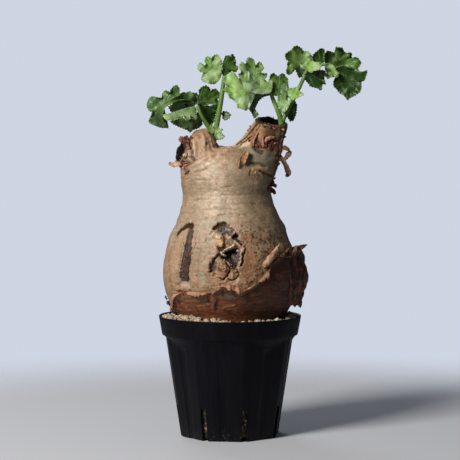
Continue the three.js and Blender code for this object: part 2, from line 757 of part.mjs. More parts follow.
// A blade with two like faces on either side of a grid of points
function bladeOf(grid, steps, across) {
  const columns = across + 1;
  const at = (i, j) => grid[i * columns + j];
  const upper = [];
  const lower = [];
  for (let i = 0; i <= steps; i++) {
    for (let j = 0; j <= across; j++) {
      const along = at(Math.min(i + 1, steps), j).clone().sub(at(Math.max(i - 1, 0), j));
      const over = at(i, Math.min(j + 1, across)).clone().sub(at(i, Math.max(j - 1, 0)));
      const normal = over.cross(along).normalize();
      upper.push(at(i, j).clone().addScaledVector(normal, LEAF_THICKNESS / 2));
      lower.push(at(i, j).clone().addScaledVector(normal, -LEAF_THICKNESS / 2));
    }
  }
  const count = grid.length;
  const index = [];
  for (let i = 0; i < steps; i++) {
    for (let j = 0; j < across; j++) {
      const a = i * columns + j;
      const b = a + 1;
      const c = a + columns;
      const d = c + 1;
      index.push(a, b, d, a, d, c);
      index.push(count + a, count + d, count + b, count + a, count + c, count + d);
    }
  }
  const rim = [];
  for (let j = 0; j < across; j++) rim.push(j);
  for (let i = 0; i < steps; i++) rim.push(i * columns + across);
  for (let j = across; j > 0; j--) rim.push(steps * columns + j);
  for (let i = steps; i > 0; i--) rim.push(i * columns);
  rim.forEach((p, k) => {
    const q = rim[(k + 1) % rim.length];
    index.push(p, count + p, count + q, p, count + q, q);
  });
  const geometry = new THREE.BufferGeometry().setFromPoints([...upper, ...lower]);
  geometry.setIndex(index);
  const made = solidOf(geometry);
  if (made.volume() > 0) return made;
  geometry.setIndex(index.toReversed());
  return solidOf(geometry);
}

function stem(points) {
  const last = points.length - 1;
  const rings = points.map((row, i) => {
    const ahead = vec(points[Math.min(i + 1, last)]);
    const behind = vec(points[Math.max(i - 1, 0)]);
    const along = ahead.sub(behind).normalize();
    return limbRing(vec(row), along, row[3], 1, STEM_SIDES);
  });
  return solidOf(skin(rings));
}

function makeShoot({ stems, leaflets }) {
  return joined([...stems.map(stem), ...leaflets.map(leaflet)]);
}

const plant = new THREE.Group();

function place(name, solid, finish) {
  const material = new THREE.MeshStandardMaterial({ ...finish, metalness: 0 });
  const mesh = new THREE.Mesh(geometryOf(solid), material);
  mesh.name = name;
  plant.add(mesh);
}

place("pot", makePot(), COLOURS.pot);
place("soil", makeSoil(), COLOURS.soil);
place("caudex", makeTrunk(), COLOURS.skin);
place("bark_skirt", makeBarkSkirt(), COLOURS.bark);
const skinClear = trunkSolid(GAP);
Object.entries(RIBBONS).forEach(([name, { points, across }]) => {
  const strip = ribbon(points, across, RIBBON_THICKNESS).subtract(skinClear);
  place(name, strip, COLOURS.bark);
});
place("shoot_left", makeShoot(SHOOT_LEFT), COLOURS.leaf);
place("shoot_right", makeShoot(SHOOT_RIGHT), COLOURS.leaf);

export default plant;
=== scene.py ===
import bpy
import numpy as np
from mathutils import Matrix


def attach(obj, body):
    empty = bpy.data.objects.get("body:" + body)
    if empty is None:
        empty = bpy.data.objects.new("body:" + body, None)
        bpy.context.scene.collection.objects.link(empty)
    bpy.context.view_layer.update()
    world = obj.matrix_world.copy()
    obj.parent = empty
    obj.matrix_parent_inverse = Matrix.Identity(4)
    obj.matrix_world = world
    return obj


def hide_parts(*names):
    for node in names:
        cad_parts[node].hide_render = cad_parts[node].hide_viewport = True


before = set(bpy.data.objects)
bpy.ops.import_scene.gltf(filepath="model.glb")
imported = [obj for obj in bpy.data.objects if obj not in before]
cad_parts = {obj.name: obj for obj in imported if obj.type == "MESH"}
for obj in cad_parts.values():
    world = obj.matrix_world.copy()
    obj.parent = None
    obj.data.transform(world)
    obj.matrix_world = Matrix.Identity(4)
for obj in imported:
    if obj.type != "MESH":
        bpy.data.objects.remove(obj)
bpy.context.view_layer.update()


# POT. A 12 cm nursery pot of injection-moulded black polypropylene: a plain round band over
# eight flat sides that meet in narrow chamfers, with a slit for roots up each corner.
MM = 0.001  # metres in a millimetre
POT_HEIGHT = 101
BAND_BOTTOM = 85.3
BAND_RADII = (57.2, 60)
POT_WALL = 1.6
SIDES = 8
SECTOR = 360 / SIDES
FIRST_CORNER = 16
CORNER_RADII = (42, 55)
CORNER_TOP = 84
CHAMFER_HALF = 4  # half angles, in degrees
RECESS_HALF = 5.6
RECESS_DEPTH = 0.6
RECESS_TOP = 75.6
SLIT_WIDTH = 4.5
SLIT_TOP = 27
SLIT_UNDER = 9
UNDER_BAND_SLOPE = 0.7
AT_CORNER = 3  # degrees from a corner to the columns at a slit's sides


def smooth(share):
    """Nought below 0, one above 1 and an easy bend between: 3t^2 - 2t^3."""
    held = np.clip(share, 0, 1)
    return held * held * (3 - 2 * held)


def mixed(low, high, share):
    """Low where the share is 0 and high where it is 1, along a straight line."""
    return np.asarray(low) + (np.asarray(high) - low) * share


def rumple(points, size, seed):
    """Smooth random heights from -1 to 1. Seeded numbers on a lattice with cells of a size
    in mm are read between the eight corners of a point's cell, with eased weights."""
    lattice = np.random.default_rng(seed).uniform(-1, 1, (32, 32, 32))
    place = np.asarray(points) / np.asarray(size)
    cell = np.floor(place).astype(int)
    share = smooth(place - cell)
    total = np.zeros(place.shape[:-1])
    for corner in np.ndindex(2, 2, 2):
        weight = np.prod(np.where(corner, share, 1 - share), axis=-1)
        total += weight * lattice[tuple(np.moveaxis((cell + corner) % 32, -1, 0))]
    return total


def joined(*columns):
    """Columns stretched to match each other and set side by side as points."""
    return np.stack(np.broadcast_arrays(*columns), -1)


def at_bearing(bearing, radius, height):
    """Points at a bearing, a radius and a height: x = r sin b, y = -r cos b."""
    turned = np.radians(bearing)
    return joined(radius * np.sin(turned), -radius * np.cos(turned), height)


def grid_faces(rows, columns, around=False):
    """Quads between neighbouring rows and columns. Round a ring, the last column meets the first."""
    low = np.arange(rows - 1)[:, None] * columns
    left = np.arange(columns if around else columns - 1)[None, :]
    right = (left + 1) % columns
    corners = (low + left, low + right, low + right + columns, low + left + columns)
    return np.stack(corners, -1).reshape(-1, 4)


def fan(hub, ring, facing_up=False):
    """Triangles from a hub to each side of a closed ring of points."""
    ahead = np.roll(ring, -1)
    sides = (ring, ahead) if facing_up else (ahead, ring)
    return np.stack([np.full(len(ring), hub), *sides], -1)


def place_piece(name, slot, nodes, material, points, faces, tint=None):
    """A mesh from points in mm and faces, on the one body, standing for its CAD nodes. Its
    tint is a colour for each point, which the material reads."""
    mesh = bpy.data.meshes.new(name)
    mesh.from_pydata((np.asarray(points).reshape(-1, 3) * MM).tolist(), [], [list(f) for f in faces])
    mesh.validate()
    mesh.shade_smooth()
    if tint is not None:
        colour = np.ones((len(mesh.vertices), 4))
        colour[:, :3] = np.asarray(tint).reshape(-1, 3)
        layer = mesh.color_attributes.new("tint", "FLOAT_COLOR", "POINT")
        layer.data.foreach_set("color", colour.astype(np.float32).ravel())
    mesh.materials.append(material)
    piece = bpy.data.objects.new(name, mesh)
    bpy.context.scene.collection.objects.link(piece)
    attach(piece, "root")
    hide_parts(*nodes)
    return piece


def connect(tree, value, socket):
    """Links a socket to an input, or sets a number or a colour on it."""
    if isinstance(value, bpy.types.NodeSocket):
        tree.links.new(value, socket)
    elif socket.type == "RGBA":
        socket.default_value = (*value, 1)
    else:
        socket.default_value = value


def add_node(tree, kind, inputs=None, **settings):
    """A shader node with its settings, and its inputs by name or by number."""
    made = tree.nodes.new(kind)
    for key, value in settings.items():
        setattr(made, key, value)
    for key, value in (inputs or {}).items():
        connect(tree, value, made.inputs[key])
    return made


def blend(tree, share, low, high, mode="MIX"):
    """The colour low where the share is 0 and high where it is 1."""
    inputs = {0: share, 6: low, 7: high}
    return add_node(tree, "ShaderNodeMix", inputs, data_type="RGBA", blend_type=mode).outputs[2]


def ranged(tree, value, low, high):
    """A mask from 0 to 1 turned into values between low and high."""
    inputs = {"Value": value, "To Min": low, "To Max": high}
    return add_node(tree, "ShaderNodeMapRange", inputs).outputs["Result"]


def make_mottle():
    """The group for grain: fractal noise over stretched Object coordinates, its contrast
    raised between two levels, put out as a mask from 0 to 1."""
    group = bpy.data.node_groups.new("mottle", "ShaderNodeTree")
    for name, kind in (("Stretch", "Vector"), ("Scale", "Float"), ("Low", "Float"), ("High", "Float")):
        group.interface.new_socket(name, in_out="INPUT", socket_type="NodeSocket" + kind)
    group.interface.new_socket("Mask", in_out="OUTPUT", socket_type="NodeSocketFloat")
    asked = add_node(group, "NodeGroupInput").outputs
    place = add_node(group, "ShaderNodeTexCoord").outputs["Object"]
    inputs = {0: place, 1: asked["Stretch"]}
    stretched = add_node(group, "ShaderNodeVectorMath", inputs, operation="MULTIPLY").outputs[0]
    inputs = {"Vector": stretched, "Scale": asked["Scale"], "Detail": 5, "Roughness": 0.6}
    noise = add_node(group, "ShaderNodeTexNoise", inputs).outputs["Fac"]
    inputs = {"Value": noise, "From Min": asked["Low"], "From Max": asked["High"]}
    mask = add_node(group, "ShaderNodeMapRange", inputs, interpolation_type="SMOOTHSTEP")
    connect(group, mask.outputs["Result"], add_node(group, "NodeGroupOutput").inputs["Mask"])
    return group


MOTTLE = make_mottle()


def mottle(tree, scale, low=0.3, high=0.7, stretch=(1, 1, 1)):
    """The grain group placed in a material: its mask at a scale per metre."""
    inputs = {"Stretch": stretch, "Scale": scale, "Low": low, "High": high}
    placed = tree.nodes.new("ShaderNodeGroup")
    placed.node_tree = MOTTLE
    for key, value in inputs.items():
        connect(tree, value, placed.inputs[key])
    return placed.outputs["Mask"]


def new_finish(name):
    """A material with its node tree and its Principled shader."""
    material = bpy.data.materials.new(name)
    material.use_nodes = True
    tree = material.node_tree
    return material, tree, tree.nodes["Principled BSDF"]


def dress(tree, shader, colour, roughness, gloss, height, depth_mm, strength):
    """A shader's colour, roughness and gloss, and a height mask felt as a relief in mm."""
    inputs = {"Height": height, "Distance": depth_mm * MM, "Strength": strength}
    relief = add_node(tree, "ShaderNodeBump", inputs).outputs["Normal"]
    connect(tree, colour, shader.inputs["Base Color"])
    connect(tree, roughness, shader.inputs["Roughness"])
    connect(tree, gloss, shader.inputs["Specular IOR Level"])
    connect(tree, relief, shader.inputs["Normal"])


def make_plastic():
    """Black plastic with a satin moulded grain, faint rubbed streaks and dust at its foot."""
    material, tree, shader = new_finish("black polypropylene")
    streaks = mottle(tree, 60, 0.35, 0.75, (3, 3, 0.25))
    black = blend(tree, streaks, (0.0011, 0.0011, 0.0026), (0.0025, 0.0025, 0.0046))
    place = add_node(tree, "ShaderNodeTexCoord").outputs["Object"]
    height = add_node(tree, "ShaderNodeSeparateXYZ", {"Vector": place}).outputs["Z"]
    inputs = {"Value": height, "From Min": 0.014, "From Max": 0}
    low = add_node(tree, "ShaderNodeMapRange", inputs).outputs["Result"]
    inputs = {0: low, 1: mottle(tree, 900, 0.56, 0.7)}
    dust = add_node(tree, "ShaderNodeMath", inputs, operation="MULTIPLY").outputs[0]
    colour = blend(tree, dust, black, (0.09, 0.08, 0.07))
    roughness = ranged(tree, streaks, 0.42, 0.58)
    dress(tree, shader, colour, roughness, 0.11, mottle(tree, 1800), 0.05, 0.5)
    return material


def pot_side_radius(bearing, height):
    """The outside below the band: an eight-sided section with chamfered corners that widens
    evenly with height, or the steep cone under the band where that is wider."""
    corner = mixed(CORNER_RADII[0], CORNER_RADII[1], height / CORNER_TOP)
    turned = (bearing - FIRST_CORNER) % SECTOR
    edge = np.minimum(turned, SECTOR - turned)
    in_chamfer = edge <= CHAMFER_HALF
    half = np.where(in_chamfer, CHAMFER_HALF, SECTOR / 2 - CHAMFER_HALF)
    off = np.where(in_chamfer, edge, turned - SECTOR / 2)
    flat = corner * np.cos(np.radians(half)) / np.cos(np.radians(off))
    return np.maximum(flat, CORNER_RADII[1] + (height - CORNER_TOP) * UNDER_BAND_SLOPE)


def pot_profile():
    """Rows of the pot's outside from the middle of its floor to its rim: height, and the
    share of the wall's own radius, which is below one only under the floor."""
    floor = [(0, share) for share in (0.02, 0.3, 0.55, 0.7)]
    under = [(0, 1 - step * SLIT_UNDER / CORNER_RADII[0]) for step in (1, 0.75, 0.5, 0.25)]
    foot = [(0, 0.985), (0.25, 0.995), (0.7, 1)]
    side = [(height, 1) for height in np.linspace(2, SLIT_TOP, 12)]
    upper = [(height, 1) for height in np.linspace(30, RECESS_TOP, 20)]
    shoulder = [(height, 1) for height in (76.3, 78, 80, 82, 83.4, 84.2, 84.9)]
    return np.array(floor + under + foot + side + upper + shoulder)


def make_pot():
    """The outside sheet on a grid of rows and bearings. The columns nearest each corner stay a
    slit's width apart, and their cells are left out up to the top of the slit."""
    steps = [np.linspace(0, AT_CORNER, 4), np.linspace(4, 16, 10), [16.85, 17, 19.75]]
    steps = np.concatenate(steps)
    steps = np.concatenate([-steps[:0:-1], steps, [SECTOR / 2]])
    nominal = (np.arange(SIDES)[:, None] * SECTOR + steps[None, :]).ravel()
    offset = (nominal + SECTOR / 2) % SECTOR - SECTOR / 2
    rows = pot_profile()
    level, share = rows[:, :1], rows[:, 1:]
    radius = pot_side_radius(nominal + FIRST_CORNER, level) * share
    half_slit = np.degrees(np.arcsin(SLIT_WIDTH / 2 / np.maximum(radius, 20)))
    beyond = (np.abs(offset) - AT_CORNER) / (SECTOR / 2 - AT_CORNER)
    far = np.sign(offset) * mixed(half_slit, SECTOR / 2, beyond)
    shifted = np.where(beyond <= 0, half_slit * offset / AT_CORNER, far)
    bearing = nominal - offset + FIRST_CORNER + shifted
    radius = pot_side_radius(bearing, level) * share
    recess = smooth((RECESS_HALF - np.abs(np.abs(offset) - SECTOR / 2)) / 0.25)
    radius -= RECESS_DEPTH * recess * (level <= RECESS_TOP) * (share > 0.97)
    wall = at_bearing(bearing, radius, level)
    lip = [(BAND_BOTTOM - 0.1, BAND_RADII[0] - 0.15), (BAND_BOTTOM + 0.25, BAND_RADII[0])]
    for height in np.linspace(88, 100.6, 6):
        up = (height - BAND_BOTTOM) / (POT_HEIGHT - BAND_BOTTOM)
        lip.append((height, mixed(*BAND_RADII, up)))
    lip.append((POT_HEIGHT, BAND_RADII[1] - 0.35))
    band = np.array([at_bearing(bearing[-1], r, h) for h, r in lip])
    points = np.concatenate([wall, band])
    count = points.shape[1]
    faces = grid_faces(len(points), count, around=True)
    row, column = faces[:, 0] // count, faces[:, 0] % count
    here, ahead = offset[column], offset[(column + 1) % count]
    at_corner = (np.abs(here + ahead) < 2 * AT_CORNER) & (np.abs(here - ahead) < AT_CORNER)
    low_enough = np.append(rows[:, 0] <= SLIT_TOP, np.zeros(len(band), bool))[row + 1]
    outer = np.append(rows[:, 1] > 0.78, np.ones(len(band), bool))[row]
    kept = faces[~(at_corner & low_enough & outer)]
    cap = fan(points.size // 3, np.arange(count))
    everything = np.concatenate([points.reshape(-1, 3), [[0, 0, 0]]])
    return everything, kept.tolist() + cap.tolist()


PLASTIC = make_plastic()
pot = place_piece("slit_pot", "pot_plastic", ["pot"], PLASTIC, *make_pot())
wall = pot.modifiers.new("wall", "SOLIDIFY")
wall.thickness = POT_WALL * MM
wall.offset = -1
eased = pot.modifiers.new("eased edges", "BEVEL")
eased.width = 0.3 * MM
eased.segments = 2
eased.angle_limit = np.radians(40)


# PUMICE. Washed volcanic grit, 2 to 6 mm: a loose top dressing up to the rim and the same grit
# behind the slits. Each grain is a small lump, tipped and turned, over a bed of the same stone.
SOIL_LEVEL = 97.2
GRAIN_ROWS, GRAIN_COLUMNS = 4, 8
GRAIN_CREAM, GRAIN_BROWN = np.array([0.74, 0.64, 0.5]), np.array([0.36, 0.24, 0.13])
GRAIN_SIZES, SIZE_SHARES = (2.2, 3.2, 4.4, 5.8), (0.22, 0.28, 0.3, 0.2)
RING_GAP, GRAIN_GAP = 2.3, 3.7
SLIT_GRAINS = 12
BED_COLUMNS = 240
BED_IN_SHADE, BED_PALE = np.array([0.012, 0.009, 0.007]), np.array([0.2, 0.14, 0.09])


def painted(tree):
    """The tint painted on a piece's points."""
    return add_node(tree, "ShaderNodeVertexColor", layer_name="tint").outputs["Color"]


def shaded(tree, colour, mask, low, high):
    """A colour times low where the mask is 0, and times high where it is 1."""
    return blend(tree, 1, colour, blend(tree, mask, low, high), "MULTIPLY")


def make_pumice():
    """Porous cream stone: each grain's own shade, brown dust in its hollows, pitted."""
    material, tree, shader = new_finish("pumice")
    pits = mottle(tree, 900, 0.35, 0.6)
    dusty = blend(tree, mottle(tree, 260, 0.42, 0.72), painted(tree), (0.27, 0.18, 0.1))
    # Darker in the pits: painted shade in them.
    colour = shaded(tree, dusty, pits, (0.62, 0.56, 0.5), (1, 1, 1))
    dress(tree, shader, colour, 0.95, 0.5, pits, 0.5, 0.8)
    return material


def make_grains(places, sizes, seed):
    """Lumps at places: on a ball of rings and meridians each point is pushed in or out at
    random, then the ball is stretched, turned by a random rotation and set down."""
    random = np.random.default_rng(seed)
    tilt = np.linspace(0, np.pi, GRAIN_ROWS + 2)[1:-1, None]
    turn = np.linspace(0, 2 * np.pi, GRAIN_COLUMNS, endpoint=False)[None, :]
    ring = joined(np.sin(tilt) * np.cos(turn), np.sin(tilt) * np.sin(turn), np.cos(tilt))
    ball = np.concatenate([ring[::-1].reshape(-1, 3), [[0, 0, -1], [0, 0, 1]]])
    count, size = len(places), len(ball)
    lumps = ball[None] * random.uniform(0.72, 1.22, (count, size, 1))
    lumps *= random.uniform(0.55, 1.25, (count, 1, 3)) * np.asarray(sizes)[:, None, None] / 2
    turned = np.linalg.qr(random.normal(size=(count, 3, 3)))[0]
    turned *= np.sign(np.linalg.det(turned))[:, None, None]
    points = np.einsum("gij,gpj->gpi", turned, lumps) + np.asarray(places)[:, None, :]
    first_ring = np.arange(GRAIN_COLUMNS)
    last_ring = first_ring + (GRAIN_ROWS - 1) * GRAIN_COLUMNS
    sides = grid_faces(GRAIN_ROWS, GRAIN_COLUMNS, around=True)
    shift = (np.arange(count) * size)[:, None, None]
    faces = []
    for part in (sides, fan(size - 2, first_ring), fan(size - 1, last_ring, facing_up=True)):
        faces += (part[None] + shift).reshape(-1, part.shape[1]).tolist()
    share = random.beta(0.9, 2.2, (count, 1))
    shade = mixed(GRAIN_CREAM, GRAIN_BROWN, share) * random.uniform(0.75, 1.15, (count, 1))
    return points.reshape(-1, 3), faces, np.repeat(np.clip(shade, 0, 0.8), size, axis=0)


def surface_places(random):
    """Grain centres over the soil: rings 2.3 mm apart, each point moved at random. They lie
    highest beside the trunk and at the front left, and lowest at the front right."""
    places, sizes = [], []
    for radius in np.arange(44, 57.6, RING_GAP):
        count = int(2 * np.pi * radius / GRAIN_GAP)
        bearing = np.arange(count) * 360 / count + random.uniform(-2.5, 2.5, count)
        reach = radius + random.uniform(-1.1, 1.1, count)
        away = (bearing + 180) % 360 - 180
        heap = 1.2 * smooth((55 - reach) / 8) + 1.9 * np.exp(-(((away + 50) / 26) ** 2))
        heap = heap - 2.2 * np.exp(-(((away - 24) / 36) ** 2))
        size = random.choice(GRAIN_SIZES, count, p=SIZE_SHARES)
        reach = np.minimum(reach, 58.1 - size / 2)
        level = SOIL_LEVEL + 0.3 * size + heap + random.uniform(-0.9, 0.7, count)
        places.append(at_bearing(bearing, reach, level))
        sizes.append(size)
    return np.concatenate(places), np.concatenate(sizes)


def slit_places(random):
    """Grain centres behind the eight slits: a loose column each, up to 3 mm behind the wall."""
    corner = np.repeat(np.arange(SIDES) * SECTOR + FIRST_CORNER, SLIT_GRAINS)
    height = np.tile(np.arange(SLIT_GRAINS) * 2.05 + 3.8, SIDES)
    height = height + random.uniform(-0.6, 0.6, len(corner))
    bearing = corner + random.uniform(-2.4, 2.4, len(corner))
    size = random.uniform(2.2, 4.4, len(corner))
    inward = POT_WALL + size / 2 + random.uniform(0, 3, len(corner))
    radius = pot_side_radius(corner, height) - inward
    return at_bearing(bearing, radius, height), size


def make_bed():
    """The bed under the grains: a hoop of rings that follows the wall up, crosses the top with small
    random heights and goes down again beside the root. It is near black below the top, as painted shade
    inside the pot, and pale brown at the top."""
    bearing = np.linspace(0, 360, BED_COLUMNS, endpoint=False)
    walls = [(pot_side_radius(bearing, h) - POT_WALL - 2, h) for h in np.linspace(2.2, 80, 40)]
    shoulder = [(54.6, 90), (56.8, SOIL_LEVEL - 1.4)]
    top = [(radius, SOIL_LEVEL - 0.6) for radius in np.linspace(56, 41, 12)]
    inner = [(39, 92), (30, 74), (18, 60), (12, 2.2)]
    rings = np.array([at_bearing(bearing, r, h) for r, h in walls + shoulder + top + inner])
    rings += rumple(rings, 2.4, 3)[..., None] * np.array([0.35, 0.35, 0.7])
    faces = grid_faces(len(rings) + 1, BED_COLUMNS, around=True) % (len(rings) * BED_COLUMNS)
    # Near black low down: painted shade inside the pot; pale brown at the top.
    return rings, faces, mixed(BED_IN_SHADE, BED_PALE, smooth((rings[..., 2:] - 82) / 8))


PUMICE = make_pumice()
place_piece("pumice_bed", "pumice", ["soil"], PUMICE, *make_bed())
scatter = np.random.default_rng(11)
# The slit grains' tone of 0.55 darkens them as painted shade inside the pot.
for name, (places, sizes), tone, seed in (
    ("pumice_grains", surface_places(scatter), 1, 5),
    ("slit_grains", slit_places(scatter), 0.55, 6),
):
    grains, grain_faces, grain_tint = make_grains(places, sizes, seed)
    place_piece(name, "pumice", ["soil"], PUMICE, grains, grain_faces, grain_tint * tone)


# TRUNK. The water-storing caudex, smooth tan skin over soft wood: a bottle with two stub arms,
# the right one sawn off, the left one torn off beside a rounded knob. It grew in one piece.
TRUNK_OUTLINE = np.array([
    [62, 20, 0], [70, 32, 0], [80, 38.5, 0.5], [90, 42, 0.9], [101, 44.2, 0.9],
    [109, 49.7, 0.2], [115, 52.2, 0], [122, 54.5, 0], [130.5, 56, 0], [139, 56.1, 0],
    [147, 55.1, 0], [156, 53.8, 0], [164, 51, -1], [173, 47.9, -0.8], [181, 44.1, -0.5],
    [189.5, 40.5, -1], [198, 37.6, -2], [204, 37, -2.9], [210.5, 38, -3], [219, 38.8, -3.1],
    [227, 37.4, -3.1], [233.5, 34, -3], [238.5, 28, -3], [241.5, 20, -3],
])
TRUNK_TOP = 243.2
TRUNK_DEPTH = 0.94
VOXEL = 1
# Arms: x, y, z, radius, and the depth of the section as a share of its width
RIGHT_ARM = np.array([
    [14, 0, 208, 17.5, 1.7], [20, 0, 224, 19, 1.5], [26, 0, 239, 17.2, 1.25],
    [31, 0.5, 251, 14.6, 1.08], [35.5, 1, 264, 13.4, 1],
])
RIGHT_CUT = np.array([0.16, -0.25, 0.95])
LEFT_STUB = np.array([[-20, 0, 224, 15, 1.5], [-31, -1.5, 232.5, 12.4, 1.2], [-41.5, -4, 239.5, 10.2, 1]])
LEFT_CUT = np.array([-0.88, -0.36, 0.3])
WEB = np.array([
    [3, -1, 239, 4, 1.6], [9.5, -1, 243.6, 4.6, 1.8], [13.3, -1, 247.2, 5, 1.8],
    [17.6, -1, 252.1, 5, 1.8], [21.3, -1, 256.6, 5, 1.7], [26, -1, 261, 5, 1.6],
])
KNOB = np.array([
    [-14, -1, 213, 20, 1.6], [-18, -2, 227, 18, 1.5], [-21.6, -2.5, 238, 14.6, 1.35],
    [-23.2, -2.5, 246, 12.2, 1.15], [-23.6, -2.5, 252, 10, 1.05], [-23.8, -2.5, 255.6, 6.6, 1],
    [-23.8, -2.5, 257.3, 2, 1],
])


def unit(vectors):
    """Vectors of length one."""
    return vectors / np.maximum(np.linalg.norm(vectors, axis=-1, keepdims=True), 1e-9)


def resampled(rows, count, ease=1):
    """Rows read off at even steps of their length by straight lines, then softened by a
    running mean over a number of rows."""
    rows = np.asarray(rows, float)
    length = np.append(0, np.cumsum(np.linalg.norm(np.diff(rows[:, :3], axis=0), axis=1)))
    even = np.linspace(0, length[-1], count)
    made = np.stack([np.interp(even, length, column) for column in rows.T], -1)
    if ease > 1:
        padded = np.concatenate([np.repeat(made[:1], ease, 0), made, np.repeat(made[-1:], ease, 0)])
        kernel = np.ones(2 * ease + 1) / (2 * ease + 1)
        soft = np.stack([np.convolve(column, kernel, "valid") for column in padded.T], -1)
        hold = np.minimum(np.arange(count), np.arange(count)[::-1])[:, None]
        made = mixed(made, soft, smooth(hold / ease))
    return made


TRUNK_ROWS = resampled(TRUNK_OUTLINE, 360, 6)


def trunk_skin(bearing, height, grown=0):
    """The trunk's oval section: a radius and a middle for each height, a little flatter
    from front to back, grown outwards by a distance."""
    radius = np.interp(height, TRUNK_ROWS[:, 0], TRUNK_ROWS[:, 1]) + grown
    middle = np.interp(height, TRUNK_ROWS[:, 0], TRUNK_ROWS[:, 2])
    turned = np.radians(bearing)
    x = middle + radius * np.sin(turned)
    y = -(radius * TRUNK_DEPTH + (1 - TRUNK_DEPTH) * grown) * np.cos(turned)
    return joined(x, y, height)


def limb_rings(path, normals, facets=64):
    """Oval rings round the points of a path, each in the plane across its normal."""
    right = unit(np.cross((0, 1, 0), normals))
    back = np.cross(normals, right)
    turn = np.linspace(0, 2 * np.pi, facets, endpoint=False)[None, :, None]
    radius = path[:, None, 3:4]
    wide = right[:, None] * radius * np.cos(turn)
    deep = back[:, None] * radius * path[:, None, 4:5] * np.sin(turn)
    return path[:, None, :3] + wide + deep


def closed_skin(rings):
    """Points and faces of a skin over rings of points, with a fan over each end."""
    rows, columns = rings.shape[:2]
    points = np.concatenate([rings.reshape(-1, 3), rings[[0, -1]].mean(axis=1)])
    foot = fan(rows * columns, np.arange(columns))
    head = fan(rows * columns + 1, (rows - 1) * columns + np.arange(columns), facing_up=True)
    return points, grid_faces(rows, columns, around=True).tolist() + foot.tolist() + head.tolist()


def trunk_shells():
    """The closed skins that grew together: the bottle, both arms, the web of skin up the
    inside of the right arm, and the knob."""
    bearing = np.linspace(0, 360, 180, endpoint=False)
    rows = TRUNK_ROWS[::2]
    body = trunk_skin(bearing[None, :], rows[:, :1])
    crown = trunk_skin(bearing, rows[-1, 0])
    middle = np.array([rows[-1, 2], 0, TRUNK_TOP])
    domed = []
    for share in (0.35, 0.7):
        ring = mixed(crown, middle, share)
        ring[:, 2] = mixed(TRUNK_OUTLINE[-1, 0], TRUNK_TOP, share**0.6)
        domed.append(ring)
    shells = [np.concatenate([body, domed])]
    for path, cut in ((RIGHT_ARM, RIGHT_CUT), (LEFT_STUB, LEFT_CUT)):
        fine = resampled(path, 40, 4)
        along = unit(np.gradient(fine[:, :3], axis=0))
        turn = smooth((np.arange(40) - 28) / 11)[:, None]
        shells.append(limb_rings(fine, unit(mixed(along, unit(cut), turn))))
    fine = resampled(WEB, 40, 3)
    shells.append(limb_rings(fine, unit(np.gradient(fine[:, :3], axis=0))))
    fine = resampled(KNOB, 50, 3)
    shells.append(limb_rings(fine, np.tile([0, 0, 1], (50, 1))))
    return [closed_skin(shell) for shell in shells]


def grown_together(shells):
    """One skin over several: they are joined as voxels of 1 mm and the creases between them
    are eased. It gives points in mm, faces and normals."""
    points, faces = [], []
    for shell_points, shell_faces in shells:
        shift = sum(len(p) for p in points)
        points.append(shell_points)
        faces += [[index + shift for index in face] for face in shell_faces]
    mesh = bpy.data.meshes.new("shells")
    mesh.from_pydata((np.concatenate(points) * MM).tolist(), [], faces)
    draft = bpy.data.objects.new("shells", mesh)
    bpy.context.scene.collection.objects.link(draft)
    fuse = draft.modifiers.new("fuse", "REMESH")
    fuse.mode = "VOXEL"
    fuse.voxel_size = VOXEL * MM
    ease = draft.modifiers.new("ease", "SMOOTH")
    ease.factor = 0.5
    ease.iterations = 10
    whole = bpy.data.meshes.new_from_object(draft.evaluated_get(bpy.context.evaluated_depsgraph_get()))
    bpy.data.objects.remove(draft)
    count = len(whole.vertices)
    skin, normals = np.empty(count * 3), np.empty(count * 3)
    whole.vertices.foreach_get("co", skin)
    whole.vertex_normals.foreach_get("vector", normals)
    corners = np.empty(len(whole.loops), int)
    whole.loops.foreach_get("vertex_index", corners)
    return skin.reshape(-1, 3) / MM, corners.reshape(-1, 4), normals.reshape(-1, 3)


def line_mask(places, line, width):
    """One on a broken line and nought a width away from it, in a plane or in space."""
    line = np.asarray(line, float)
    nearest = np.full(places.shape[:-1], 1e9)
    for start, end in zip(line[:-1], line[1:]):
        along = end - start
        share = np.clip(((places - start) @ along) / max(along @ along, 1e-9), 0, 1)
        off = places - start - share[..., None] * along
        nearest = np.minimum(nearest, np.linalg.norm(off, axis=-1))
    return smooth(1 - nearest / width)


# Skin tones, as the shares of light they return
TAN = np.array([0.5, 0.375, 0.26])
CREAM = np.array([0.6, 0.47, 0.345])
ORANGE = np.array([0.45, 0.235, 0.105])
PINK = np.array([0.48, 0.315, 0.23])
OLIVE = np.array([0.33, 0.27, 0.16])
UMBER = np.array([0.16, 0.085, 0.045])
RUST = np.array([0.2, 0.07, 0.045])
PURPLE = np.array([0.075, 0.05, 0.055])
LILAC = np.array([0.24, 0.2, 0.2])
GREY = np.array([0.33, 0.29, 0.25])
BLACK = np.array([0.006, 0.005, 0.005])
MOSS = np.array([0.29, 0.28, 0.19])
UNROLLED = 52  # the radius at which the skin is unrolled


def skin_plane(bearing, height):
    """Places on the unrolled skin: mm round the trunk from the front, and mm up."""
    return joined(np.radians(bearing) * UNROLLED, height)


